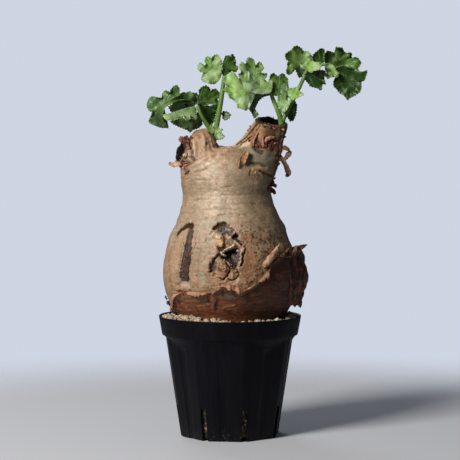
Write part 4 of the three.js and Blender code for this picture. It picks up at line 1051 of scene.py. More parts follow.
def bark_tint(front, edge, seed):
    """Bark's colour: red-brown with dark clouds and level fibres, orange on the left and dark on the
    right, paler along the torn edge. The orange on the left is partly painted light where the wrap faces
    the light; the dark on the right, and the darker torn edge there, are painted shade."""
    x = front[..., 0]
    cloud = rumples(front, (15, 15, 6), (6, 6, 3), 0.5, seed)
    cloud = cloud + 0.55 * rumple(front, (2.4, 2.4, 0.9), seed + 5)
    cloud = cloud + 0.45 * rumple(front, (1.1, 1.1, 3.2), seed + 6)
    tint = washed(BARK_RED * 1.12, BARK_DARK, smooth(0.2 + 0.8 * cloud))
    # Orange on the left: partly the bark's own colour, partly painted light.
    left = smooth((-x - 4) / 34) * smooth(0.7 + 0.6 * rumple(front, 8, seed + 4))
    tint = washed(tint, BARK_LIT_ORANGE, 0.75 * left)
    # Dark on the right: painted shade.
    right = smooth((x + 4) / 30)
    far_right = mixed(0.85, 1.35, smooth((x - 26) / 14))[..., None]
    tint = washed(tint, BARK_DARK * far_right, 0.85 * right)
    fibre = rumples(front, (8, 8, 1.2), (3, 3, 0.8), 0.6, seed + 7)
    tint = tint * (1 + 0.38 * fibre)[..., None]
    pale = edge * smooth(0.75 + 0.6 * rumple(front, 3, seed + 2))
    # The pale torn edge darkens to the right: painted shade.
    torn = mixed(BARK_PALE, BARK_RED, 0.25) * mixed(1, 0.45, right)[..., None]
    return washed(tint, torn, 0.9 * pale)


def place_bark(name, nodes, front, tint, thickness, lining=BARK_PALE, lined=0.35, around=False):
    """A bark sheet as a piece, with the lining's tone washed over its inner side by a share."""
    points, faces = slab(front, thickness, around)
    both = np.concatenate([tint, mixed(tint, lining, lined)]).reshape(-1, 3)
    place_piece(name, "bark", nodes, BARK, points, faces, both)


def edge_height(bearings, seed):
    """The height of the torn edge: the drawn line plus tears of three sizes."""
    drawn = np.interp(bearings, BARK_EDGE[:, 0], BARK_EDGE[:, 1])
    ring = at_bearing(bearings, 52, 0)
    tears = 1.3 * rumple(ring, 6, seed) + 0.8 * rumple(ring, 2.3, seed + 1)
    return drawn + tears + 0.5 * rumple(ring, 1, seed + 2)


def rolled_lip(stations, seed, count=110, across=26):
    """A torn edge rolled outwards. Stations give a bearing, a height, the flat length below
    it, and the radius and angle of the roll. Below the edge the sheet climbs the skin; above
    it, it follows a circle: out by R(1 - cos a) and up by R sin a."""
    fine = resampled(stations, count, 4)
    bearing, height, flat, radius, angle = fine.T[..., None]
    rough = rumple(np.insert(fine[:, :2], 2, 0, axis=1), 3, seed)[:, None]
    rougher = rumple(np.insert(fine[:, :2], 2, 5, axis=1), 1.3, seed + 1)[:, None]
    radius = np.maximum(radius * (1 + 0.28 * rough + 0.12 * rougher), 0.15)
    angle = np.maximum(angle * (1 + 0.16 * rough + 0.22 * rougher), 5)
    share = np.linspace(0, 1, across)[None, :]
    climb = np.clip(share / 0.42, 0, 1)
    turn = np.radians(angle) * np.clip((share - 0.42) / 0.58, 0, 1)
    level = height - flat * (1 - climb)
    uneven = 0.25 * rumple(trunk_skin(bearing, level), 2.5, seed + 2)
    base = trunk_skin(bearing, level, mixed(0.7, 2.3, climb) + uneven)
    up = unit(trunk_skin(bearing, height + 1) - trunk_skin(bearing, height - 1))
    level_way = unit(trunk_skin(bearing + 1, height) - trunk_skin(bearing - 1, height))
    out = np.cross(level_way, up)
    risen = up * (radius * np.sin(turn))[..., None]
    front = base + risen + out * (radius * (1 - np.cos(turn)))[..., None]
    return front, smooth((share - 0.36) / 0.2) * np.ones_like(level)


# The wrap, torn away from the skin on the right, where a panel of it stands free
turns = np.linspace(-180, 180, 620, endpoint=False)
ring = at_bearing(turns, 52, 0)
in_front = smooth((46 - np.abs(turns + 12)) / 8)
curl = 95 + 60 * rumple(ring, 9, 93) + 25 * rumple(ring, 3, 94)
curl = curl * (1 - 0.8 * in_front)
edge = edge_height(turns, 90) - 1.5 * in_front
front, near_edge = bark_sheet(turns, 96, edge, curl, 72, 95)
tint = bark_tint(front, near_edge * (1 - 0.7 * in_front), 97)
relief, tint = laid_over(skin_plane(turns, front[..., 2]), tint, BARK_FOLD_HIGHLIGHTS_AND_SHADE, 0.5, 98)
relief = relief * smooth(-front[..., 1] / 10)
front = front + unit(front * [1, 1, 0]) * relief[..., None]
place_bark("bark_wrap", ["bark_skirt"], front, tint, 0.6, around=True)

# The panel: heights of its upper edge by bearing, and how far it stands off by height
PANEL_EDGE = ([60, 66, 72, 78, 84, 90, 100, 110, 119], [151, 153, 154.5, 156, 156.5, 155, 151, 146, 140])
PANEL_OFF = (
    [104, 108, 115, 122, 128.5, 134.4, 140.4, 145.4, 153, 160],
    [10, 10.3, 8.5, 8, 8.9, 9.7, 8.1, 7.5, 6.5, 5],
)
SHOULDER = 158  # above this height the panel stands straight up
PANEL_RED = np.array([0.19, 0.055, 0.036])
panel = np.linspace(60, 119, 150)
place = at_bearing(panel, 60, 0)
share = np.linspace(0, 1, 110)[:, None]
bottom = 109 + 2.4 * rumple(place, 5, 101) + 1.2 * rumple(place, 1.8, 102)
peak = np.interp(panel, *PANEL_EDGE)
top = peak + 1.6 * rumple(place, 4, 103) + 0.9 * rumple(place, 1.5, 104)
level = bottom + (top - bottom) * share
skin = trunk_skin(panel, np.minimum(level, SHOULDER))
free = np.interp(level, *PANEL_OFF)
stand = 1.4 + (free - 1.4) * smooth((29 - np.abs(panel - 90)) / 21)
stand = stand + 0.9 * rumple(skin, (9, 9, 5), 105) + 0.6 * rumple(skin, 2.4, 106)
front = trunk_skin(panel, np.minimum(level, SHOULDER), stand)
front[..., 2] += np.maximum(level - SHOULDER, 0)
rim = np.maximum(smooth((0.06 - share) / 0.05), smooth((share - 0.94) / 0.05)) * np.ones_like(level)
# From near black to dark red: partly the panel's own dark red, partly painted shade, as it stands free on
# the shaded right.
streak = rumples(front, (1.8, 1.8, 12), (1, 1, 4), 0.6, 107)
tint = washed(BARK_DARK * 0.45, PANEL_RED, smooth(0.35 + 1.1 * streak))
tint = washed(tint, BARK_PALE * 0.3, 0.6 * rim)
place_bark("bark_panel", ["bark_skirt"], front, tint, 0.7)

# Rolled lips along the front of the edge: bearing, height, flat below, roll radius, roll angle
LIPS = {
    "left_foot": [
        (-76, 104.5, 1, 0.4, 60), (-70, 106, 3, 1.1, 130), (-64, 109.4, 3, 1.2, 150),
        (-60, 112.4, 3, 0.6, 80)],
    "left_flap": [
        (-60, 112.4, 2, 0.5, 60), (-56, 116.4, 4, 1.4, 140), (-51, 119.6, 5, 2, 170),
        (-46, 121.6, 5, 1.7, 160), (-43.5, 122.4, 3, 0.6, 80)],
    "small_strip": [
        (-50, 124.6, 2, 0.4, 60), (-47, 125.4, 3, 1, 170), (-43, 125.8, 3, 1.1, 180),
        (-40.4, 124.8, 2, 0.4, 70)],
    "broad_lip": [
        (-40.5, 121.6, 3, 0.6, 80), (-36, 122.9, 5, 2.1, 175), (-30, 122.8, 6, 2.5, 190),
        (-24, 122.4, 6, 2.4, 195), (-18.6, 123.4, 5, 2, 175), (-15.6, 123.8, 3, 0.7, 90)],
    "lumps": [
        (-14.6, 122, 3, 0.7, 90), (-12.4, 124.4, 4, 1.7, 170), (-9.4, 126.6, 4, 1.6, 160),
        (-6.8, 127.4, 3, 0.7, 90)],
    "drooping_edge": [
        (-8.4, 128, 3, 0.6, 90), (-5.4, 129.8, 4, 1.6, 170), (-1.2, 129.2, 5, 2.4, 205),
        (3.7, 128.4, 5, 2.6, 215), (7.5, 126.2, 5, 2.9, 225), (10.5, 125, 4, 2, 190),
        (13, 126.2, 3, 0.8, 120)],
    "low_edge": [
        (12, 125.6, 3, 0.5, 90), (15, 127.2, 3, 0.9, 150), (19, 129.6, 3, 0.9, 150),
        (22.6, 131.2, 3, 0.5, 90)],
    "rising_edge": [
        (22.6, 131.4, 3, 0.6, 90), (24.5, 133.2, 4, 2.1, 200), (27.6, 136, 4, 2.4, 220),
        (30.6, 138.8, 4, 2.3, 215), (32.6, 140.8, 3, 1.7, 180), (34, 142, 2, 0.5, 90)],
    "right_edge": [
        (35, 146, 2, 0.6, 60), (40, 150.6, 3, 1, 120), (45, 152, 4, 1.3, 160), (52, 155, 4, 1.4, 170),
        (58, 157, 3, 1.2, 150), (64, 158.6, 3, 0.7, 100)],
}
for order, (name, stations) in enumerate(LIPS.items()):
    front, rolled = rolled_lip(stations, 110 + 4 * order)
    worn = smooth(0.1 + 1.1 * rumple(front, 3.4, 130 + order))
    inner = washed(mixed(BARK_PALE, ORANGE, 0.25), BARK_RED * 1.5, worn)
    # The inside darkens towards the right: painted shade.
    inner = inner * mixed(1, 0.5, smooth((front[..., 0:1] - 10) / 26))
    outer = bark_tint(front, np.zeros_like(rolled), 97)
    place_bark("bark_" + name, ["bark_skirt"], front, washed(outer, inner, rolled), 0.55)

# One long tongue of bark rolled up like a quill: x, y, z and radius
QUILL = [
    (28, -48.6, 144.6, 1.2), (28.8, -48.2, 146.4, 2.7), (31.6, -46.4, 150.2, 2.8),
    (35.2, -43.8, 155, 2.3), (38.4, -41, 159.6, 1.6), (40.6, -38.6, 163.2, 0.6),
]
path = resampled(QUILL, 70, 4)
rings = limb_rings(np.insert(path, 4, 0.8, axis=1), unit(np.gradient(path[:, :3], axis=0)), 30)
creased = 0.5 * rumple(rings * [1, 1, 0.35], 1.7, 140)
quill, quill_faces = closed_skin(rings + unit(rings - path[:, None, :3]) * creased[..., None])
fold = smooth(0.5 + 1.2 * rumple(quill * [1, 1, 0.3], 1.8, 141))
shade = washed(PINK * 0.95, mixed(ORANGE, UMBER, 0.5), fold)
place_piece("bark_quill", "bark", ["bark_skirt"], BARK, quill, quill_faces, shade)

# Loose ribbons: direction of the width, tone, and x, y, z, half width along each. The two right strips'
# tones are their own dark brown made darker still as painted shade.
RIBBONS = {
    "bark_strip_right_upper": ((-0.5, 0.45, 0.75), (0.115, 0.066, 0.042), [
        (38, -9, 240.5, 2.2), (43.2, -10, 242, 2.1), (46.1, -10.5, 241.4, 2.1), (49, -11, 239, 2.4),
        (49.2, -11, 237.6, 2.4), (47.4, -11, 234.9, 2), (45, -10.5, 231.4, 1.2)]),
    "bark_strip_right_lower": ((0.9, 0.4, 0.2), (0.06, 0.03, 0.021), [
        (38, -9, 236.6, 1.7), (41.5, -10.4, 234.4, 2), (44.4, -11.5, 230.7, 2.2),
        (46.6, -11.5, 226.5, 2.1), (48, -11.5, 222.5, 2.4), (48.2, -12, 220, 3),
        (46.2, -12.4, 219.4, 2)]),
    "bark_flap_neck": ((0.2, 0.75, 0.6), (0.12, 0.04, 0.03), [
        (30, -12, 210.6, 3), (35.5, -11, 211, 2.8), (38.8, -10, 209.4, 1.2)]),
    "bark_curl_left": ((0.1, 0.55, 0.8), (0.48, 0.31, 0.19), [
        (-36, -10, 229.6, 2.4), (-42, -9.6, 228.8, 2), (-47, -9, 227.9, 2.2),
        (-49.8, -8.6, 228.4, 1.9), (-50.8, -8.4, 229.8, 0.9)]),
    "bark_curl_shoulder": ((0.82, 0.48, 0.3), (0.42, 0.235, 0.12), [
        (14, -24, 239, 1.2), (13.6, -27.6, 237.8, 2.2), (12.4, -29.2, 235.4, 2.6), (10.8, -31, 233.2, 3),
        (9.6, -33.4, 230.6, 3.3), (9.2, -33.2, 227.6, 3.3), (9.2, -30.6, 226.4, 3.2),
        (9.4, -28.4, 228.4, 2.8), (9.6, -29.4, 230.6, 2.2), (9.6, -31, 230.6, 1.4)]),
}


def ribbon(across, path, seed, count=64, columns=13):
    """A strip along a softened path. Its width lies across, squared off to the path; it is
    cupped with the square of the place across, its sides are torn, and it has small creases."""
    fine = resampled(path, count, 4)
    along = unit(np.gradient(fine[:, :3], axis=0))
    wide = unit(np.array(across, float) - (along @ np.array(across, float))[:, None] * along)
    normal = np.cross(along, wide)
    place = np.linspace(-1, 1, columns)[None, :]
    line = np.arange(count) * 0.35
    torn = 1 + 0.14 * rumple(joined(line, 3, 0), 1, seed)[:, None]
    half = fine[:, 3:4] * torn
    lift = 0.35 * half * place**2
    flat = fine[:, None, :3] + wide[:, None] * (half * place)[..., None]
    lift = lift + 0.35 * rumple(flat, 1.6, seed + 1)
    return flat + normal[:, None] * lift[..., None]


def streaked(tone, places, size, seed):
    """A tone that gets lighter and darker by up to a third."""
    return np.array(tone) * (1 + 0.35 * rumple(places, size, seed))[..., None]


for order, (name, (across, tone, path)) in enumerate(RIBBONS.items()):
    front = ribbon(across, path, 150 + 3 * order)
    shade = streaked(tone, front, 2.4, 170 + order)
    place_bark(name + "_ribbon", [name], front, shade, 0.7, ORANGE, 0.18)


def splinters(centre, axis, radius, count, longest, lean, seed):
    """Torn fibres round a broken end: each is a three-sided blade that stands on a circle
    round the end, leans outwards by a random amount, bends and narrows to a point."""
    random = np.random.default_rng(seed)
    axis = unit(np.array(axis, float))
    right = unit(np.cross((0, 1, 0), axis))
    back = np.cross(axis, right)
    turn = random.uniform(0, 2 * np.pi, count)[:, None]
    ray = right * np.cos(turn) + back * np.sin(turn)
    foot = np.array(centre) + ray * radius
    way = unit(axis + ray * random.uniform(*lean, (count, 1)) + 0.3 * random.normal(size=(count, 3)))
    length = longest * random.uniform(0.25, 1, (count, 1)) ** 1.4
    bend = unit(np.cross(way, random.normal(size=(count, 3))))
    side = unit(np.cross(way, bend))
    stations = np.array([-0.35, 0.3, 0.7])[:, None, None]
    spine = foot + way * length * stations + bend * length * 0.28 * stations**2
    girth = random.uniform(0.5, 1.1, (count, 1)) * np.array([1, 0.8, 0.45])[:, None, None]
    legs = np.radians([90, 210, 330])[:, None, None, None]
    rings = spine + girth * (side * np.cos(legs) + bend * 0.45 * np.sin(legs))
    tips = foot + way * length + bend * length * 0.28
    rings = np.moveaxis(rings, (0, 1), (2, 1)).reshape(count, 9, 3)
    points = np.concatenate([rings, tips[:, None]], axis=1)
    pattern = grid_faces(3, 3, around=True).tolist() + [(6, 7, 9), (7, 8, 9), (8, 6, 9), (2, 1, 0)]
    faces = [[index + 10 * blade for index in face] for blade in range(count) for face in pattern]
    tone = mixed(UMBER * 0.8, mixed(CREAM, ORANGE, 0.3), random.beta(0.9, 1.6, (count, 1)))
    return points.reshape(-1, 3), faces, np.repeat(tone, 10, axis=0)


def skin_front(x, z):
    """How far forward the skin comes at places seen from the front: the y of the foremost
    point of the trunk within 1.4 mm of each, or beside the nearest one. Also how far the
    nearest one is."""
    high = trunk_points[trunk_points[:, 2] > 195]
    places = np.stack([x, z], -1)
    far = np.linalg.norm(high[None, :, [0, 2]] - places[:, None], axis=-1)
    nearest = far.min(axis=1)
    near = far < np.maximum(nearest + 0.8, 1.4)[:, None]
    return np.where(near, high[None, :, 1], 99).min(axis=1), nearest


# Strips still fixed to the skin: direction of the width, tone, and x, stand-off, z, half width
SHREDS = [
    ((0.6, 0.3, -0.7), (0.4, 0.245, 0.125), [
        (23.5, 1, 262, 2.2), (20, 1.2, 257.4, 2.3), (16.4, 2, 252.8, 1.8), (12.4, 1.6, 249.2, 1.1),
        (8.4, 1.8, 246.6, 1.5), (5, 1.2, 243.9, 0.6)]),
    ((0.9, 0.2, 0.3), (0.38, 0.2, 0.12), [
        (22.6, 0.8, 255, 1), (19.4, 1.6, 250, 1.7), (18.4, 1.4, 246, 1.4), (19.4, 0.8, 243, 0.6)]),
    ((0.9, 0.2, 0.3), (0.36, 0.17, 0.11), [
        (27.2, 0.8, 252, 0.8), (26.2, 2, 248, 1.5), (26.8, 2.2, 245, 1.2), (28.2, 1, 242.6, 0.6)]),
    ((0.2, 0.2, 0.95), (0.42, 0.24, 0.12), [
        (37, 1, 250.6, 0.6), (33, 1.8, 250.2, 1.4), (30, 1.6, 248.6, 1.5), (28.6, 0.8, 246.4, 0.6)]),
    ((0.2, 0.6, 0.7), (0.13, 0.045, 0.03), [
        (32, 0.6, 207, 2.2), (36, 2.2, 206, 2), (37.6, 3.6, 203.4, 0.9)]),
    ((0.9, 0.3, 0.1), (0.46, 0.34, 0.22), [
        (-36, 1, 238, 0.7), (-37.4, 1.6, 235, 1.1), (-38.8, 1.6, 233, 0.8)]),
    ((0.2, 0.2, 0.9), (0.5, 0.42, 0.27), [
        (-36.2, 1.2, 235.4, 0.5), (-37.6, 1.6, 236.4, 0.9), (-39, 1.6, 235.8, 0.5)]),
    ((0.4, 0.3, 0.8), (0.34, 0.19, 0.1), [
        (21, 0.6, 222.8, 0.7), (20.2, 1.4, 220.6, 1.1), (19.6, 1.4, 218.4, 0.8),
        (21.4, 0.8, 217.2, 0.4)]),
]
for order, (across, tone, path) in enumerate(SHREDS):
    path = np.array(path, float)
    path[:, 1] = skin_front(path[:, 0], path[:, 2])[0] - path[:, 1]
    front = ribbon(across, path, 220 + 3 * order, 44, 9)
    shade = streaked(tone, front, 1.8, 260 + order)
    place_bark("shred_%02d" % (order + 1), ["caudex"], front, shade, 0.6, lined=0)

POINT = [(50, -2, 154.5, 2.4), (56, -2, 156.4, 2.8), (60.5, -2, 158.6, 1.8), (64.8, -2, 160.6, 0.3)]
point = ribbon((-0.25, 0.2, 1), POINT, 300, 40, 11)
# Dark red-brown, darkened as painted shade like the panel.
shade = washed(BARK_DARK * 0.6, RUST * 0.8, smooth(0.5 + rumple(point, 2.5, 301)))
place_bark("panel_point", ["bark_skirt"], point, shade, 0.7, lined=0)


def gathered(parts):
    """Several meshes' points, faces and tints as one mesh's."""
    points, faces, tints, shift = [], [], [], 0
    for part_points, part_faces, part_tint in parts:
        points.append(part_points)
        faces += [[int(index) + shift for index in face] for face in part_faces]
        tints.append(np.broadcast_to(part_tint, part_points.shape))
        shift += len(part_points)
    return np.concatenate(points), faces, np.concatenate(tints)


def flakes(count, spread, length, lean, rise, tones, line, seed):
    """Torn scraps of bark over a patch of the skin: short strips set down at random round a
    line of spots, leaning by an angle from upright, with their far ends lifted clear."""
    random = np.random.default_rng(seed)
    line = resampled(np.insert(np.array(line, float), 2, 0, axis=1), 60)[:, :2]
    middle = line[random.integers(0, 60, 3 * count)]
    middle = middle + random.normal(size=(3 * count, 2)) * spread
    deep, missed = skin_front(*middle.T)
    kept = np.flatnonzero(missed < 0.8)[:count]
    middle, deep, count = middle[kept], deep[kept], len(kept)
    angle = np.radians(lean + random.normal(size=count) * 26)
    size = length * random.uniform(0.5, 1.35, count)
    share = np.linspace(-0.5, 0.5, 5)
    x = middle[:, :1] + size[:, None] * share * np.sin(angle)[:, None]
    z = middle[:, 1:] + size[:, None] * share * np.cos(angle)[:, None]
    y = deep[:, None] - 0.4 - rise * random.uniform(0.3, 1, (count, 1)) * (share + 0.5) ** 2
    half = size[:, None] * 0.32 * np.array([0.5, 1, 1, 0.8, 0.2])
    half = half * random.uniform(0.6, 1.2, (count, 1))
    parts = []
    for k in range(count):
        across = (np.cos(angle[k]), random.normal() * 0.4, -np.sin(angle[k]))
        front = ribbon(across, np.stack([x[k], y[k], z[k], half[k]], -1), seed + k, 12, 5)
        tone = np.array(tones[random.integers(len(tones))]) * random.uniform(0.7, 1.2)
        parts.append((*slab(front, 0.45), tone))
    return gathered(parts)


RED_BROWN, MAROON, SALMON = (0.17, 0.065, 0.04), (0.085, 0.032, 0.025), (0.36, 0.18, 0.13)
DARK_SCRAP, TAN_SCRAP = (0.035, 0.022, 0.016), (0.36, 0.21, 0.11)
# Scraps: count, spread, length, lean in degrees, lift, tones, and the spots in x and z
SCRAPS = {
    "stub_rim": (30, 1.2, 4.6, -8, 1.6, [RED_BROWN, MAROON, RED_BROWN, SALMON], [
        (-40.6, 249), (-36.4, 250), (-36, 243)]),
    "stub_foot": (26, 1.4, 3, 60, 1.6, [RED_BROWN, MAROON, SALMON, TAN_SCRAP], [
        (-42.6, 229.6), (-38, 227.6), (-36.6, 224)]),
    "arm_wound": (34, 1.7, 3.2, 10, 1, [RED_BROWN, MAROON, SALMON, RED_BROWN], [
        (17.6, 248), (22, 244.6), (29, 243.6), (36, 243.2)]),
    "arm_rim": (22, 1.4, 2.8, -60, 0.5, [DARK_SCRAP, TAN_SCRAP, RED_BROWN], [
        (24.5, 262.6), (30, 260.4), (38, 259), (46, 258)]),
    "arm_side": (20, 1.1, 3, 10, 0.3, [DARK_SCRAP, MAROON, (0.08, 0.05, 0.035)], [
        (44.6, 254), (43.2, 247), (41.6, 238), (39.4, 226)]),
    "neck_side": (14, 1.2, 3.4, 40, 1.2, [MAROON, RED_BROWN, DARK_SCRAP], [
        (38, 218), (35.6, 211), (35, 204)]),
    "inner_edge": (12, 0.9, 3, 50, 0.6, [TAN_SCRAP, (0.2, 0.11, 0.06)], [
        (24, 264), (18.6, 259), (14.4, 254.4)]),
}
for order, (name, row) in enumerate(SCRAPS.items()):
    place_piece("scraps_" + name, "bark", ["caudex"], BARK, *flakes(*row, 310 + 90 * order))

torn = splinters((-39, -3, 239), LEFT_CUT, 9.6, 46, 5, (-0.6, 0.3), 200)
place_piece("torn_fibres", "caudex_skin", ["caudex"], BARK, *torn)
sawn, sawn_faces, sawn_tint = splinters((34.6, 1, 261.4), RIGHT_CUT, 12.9, 130, 4.2, (-0.6, 0.35), 201)
place_piece("sawn_rim", "caudex_skin", ["caudex"], BARK, sawn, sawn_faces, sawn_tint * 0.35)

# Crumbs of bark caught on the left of the foot: bearing, height, size
CRUMBS = [
    (-83, 116.6, 2.6), (-80, 115.4, 2), (-84, 111.8, 3.2), (-79, 110.4, 2.6), (-75, 107.6, 3),
    (-81, 106.8, 2.4), (-71, 104.6, 3), (-66, 103.4, 2.6)]
bearings, heights, sizes = np.array(CRUMBS, float).T
crumbs, crumb_faces, crumb_tint = make_grains(trunk_skin(bearings, heights, 1.6), sizes, 210)
crumb_tint = crumb_tint * [0.07, 0.045, 0.04]
place_piece("bark_crumbs", "bark", ["bark_skirt"], BARK, crumbs, crumb_faces, crumb_tint)


# LEAVES. Thick glaucous leaflets, bowed and crinkled, with round lobes and small teeth all
# round. They sit in groups on short fleshy stalks that grow out of the knob and the sawn arm.
EYE = np.array([0, -1500, 250])
EYE_TILT = 2.95
# A blade is drawn as it is seen from the front: mm across and mm up from the middle of the picture at the
# trunk's axis. Each row: tone, depth at its root, how fast the depth grows across and upwards, how far
# its middle bows back, its heart, and its margin from the root round. The tone is painted light and
# shade: low for blades that hang or face away in shade, high for lit ones.
LEFT_BLADES = [
    (0.05, 3, 0.1, -0.5, 2, (-40.5, 104.5), [
        (-27.3, 106.1), (-31.9, 108.4), (-38.8, 109.6), (-47.2, 106.9), (-52.7, 103.8), (-50.2, 99.2),
        (-46.4, 97.7), (-40.3, 100), (-36.5, 102.3), (-30.4, 103.8)]),
    (0.36, -1, 0.18, -0.05, -2.5, (-56, 106), [
        (-27.3, 106.9), (-29.2, 113), (-33.4, 117.2), (-37.2, 115.7), (-39.5, 116.8), (-42.2, 113),
        (-41.8, 119.1), (-44.9, 122.7), (-48.7, 120.6), (-50.2, 116.1), (-54.1, 118.4), (-57.3, 115.3),
        (-57.5, 111.5), (-60.9, 111.9), (-65.5, 113), (-68.4, 111.1), (-70.3, 106.9), (-70.4, 103.1),
        (-68.4, 99.6), (-65.7, 99.1), (-67.4, 94.7), (-69, 92), (-67.4, 88.9), (-63.2, 87.4),
        (-58.6, 85.6), (-51, 85.3), (-52.7, 89.3), (-56.7, 92.7), (-56, 97.7), (-54.4, 103.1),
        (-52.1, 104.6), (-47.2, 106.9), (-38.8, 109.6), (-33.4, 108.4)]),
    (0.88, -2, 0.5, 1.1, -1.5, (-40, 98.5), [
        (-27.3, 100.8), (-29.6, 104.7), (-31.5, 103.7), (-37.2, 102.7), (-42.6, 101.1), (-50.2, 98.6),
        (-56.9, 96.9), (-56, 94), (-53.1, 91.4), (-50.2, 92.7), (-47.9, 90.8), (-44.9, 93.5),
        (-42.7, 93.3), (-40.1, 93), (-38.9, 95.8), (-37.2, 91.2), (-34.9, 91.2), (-32.8, 95.8),
        (-31, 92.7), (-27.9, 92.5), (-27.3, 94.7), (-28.4, 97.7)]),
    (0.18, -0.5, 0.25, -0.4, 1, (-35, 90.5), [
        (-26.5, 100), (-30.4, 96.2), (-34.9, 93.1), (-41.1, 94.7), (-47.2, 92.7), (-51, 91.6),
        (-47.9, 88.5), (-43.7, 86.6), (-39.5, 84.7), (-36.1, 83.6), (-33.4, 81.3), (-30.4, 83.9),
        (-25.8, 85.5), (-22.7, 88.5), (-23.5, 94.7)]),
    (0.12, 2, 0.1, -0.4, 2, (-20, 97.5), [
        (-26.9, 106.1), (-22.7, 104.6), (-16.6, 103.8), (-9, 106.9), (-11, 102.3), (-12.6, 96.9),
        (-13.6, 91.2), (-16.5, 88.5), (-20.4, 89.3), (-23.5, 94.7), (-25.8, 100)]),
    (0.42, 4, 0.15, -0.1, -1.5, (-18.5, 110), [
        (-26.9, 105.7), (-27.3, 111.5), (-25.2, 114.5), (-26.1, 117.2), (-23.5, 120.3), (-20.4, 121.3),
        (-17.5, 119.5), (-16.7, 116.1), (-14.7, 118), (-12, 118.5), (-9.1, 115.3), (-8.6, 112.2),
        (-11.6, 110.3), (-9.7, 107.6), (-12.8, 105.2), (-16.6, 106.9), (-19.6, 105), (-23.5, 105.4)]),
    (0.25, 5, 0.1, 0.3, 1, (-32.5, 109), [
        (-27.3, 106.5), (-31.9, 104.6), (-37.2, 103.8), (-38.4, 106.9), (-36.5, 109.9), (-34.9, 113.8),
        (-31.5, 115.3), (-28.1, 114.9), (-26.4, 112.2), (-26.7, 109.2)]),
    (0.35, 4, -0.4, 0.1, 1.5, (-2.9, 96), [
        (-5.9, 96.2), (-7, 98.1), (-5.5, 99.6), (-2.1, 99.2), (0.4, 96.9), (-0.9, 94.3), (-4, 92.4),
        (-5.9, 93.9)]),
    (0.72, -1, -0.1, 0.3, 3, (-15.5, 134), [
        (-6.5, 132), (-5.5, 136.3), (-5.9, 140.1), (-7.3, 144.3), (-9.3, 147.4), (-12, 148.3),
        (-14.3, 147), (-15.7, 145), (-18.5, 146.8), (-21.2, 145), (-22.1, 142.1), (-20.4, 139.8),
        (-22.1, 138.2), (-25.6, 141.7), (-27.3, 138.2), (-27.9, 135.2), (-25.6, 132.5), (-22.7, 132.5),
        (-24.2, 129.8), (-24.8, 126.8), (-22.7, 124.3), (-19.6, 123.3), (-16.2, 122.2), (-12.8, 122.3),
        (-9.3, 124.9), (-7.3, 128.3)]),
    (0.38, 2, 0.5, 0.3, 2, (-0.8, 138), [
        (-6.3, 136.9), (-5.2, 142.2), (-3.5, 146.2), (-1, 146.6), (0.5, 144.7), (1.7, 148.2),
        (3.6, 145.6), (4.7, 141.4), (4, 138.8), (6.7, 136.9), (5.5, 133.6), (2.8, 133), (0.9, 131.3),
        (-1.8, 129.8), (-5.2, 129.6), (-7.3, 133)]),
    (0.65, -2.5, 0.2, 0.2, 0.5, (-16.3, 85), [
        (-16, 80.5), (-19, 83.4), (-19.4, 87), (-16.8, 86.2), (-15.6, 89), (-14, 86), (-13, 82.6)]),
    (0.65, -1.5, -0.2, 0.2, 0.5, (-10.5, 83), [
        (-13, 80), (-12, 84.4), (-10.2, 87.4), (-9.2, 84.8), (-6.6, 84.6), (-8, 81.6)]),
    (0.6, -3.5, -0.2, 0.3, 0.5, (-9, 79), [
        (-12.8, 79), (-11.6, 81), (-9.3, 81.9), (-6.5, 80.6), (-4.8, 78.4), (-7.2, 76.6), (-10.5, 76.2)]),
]
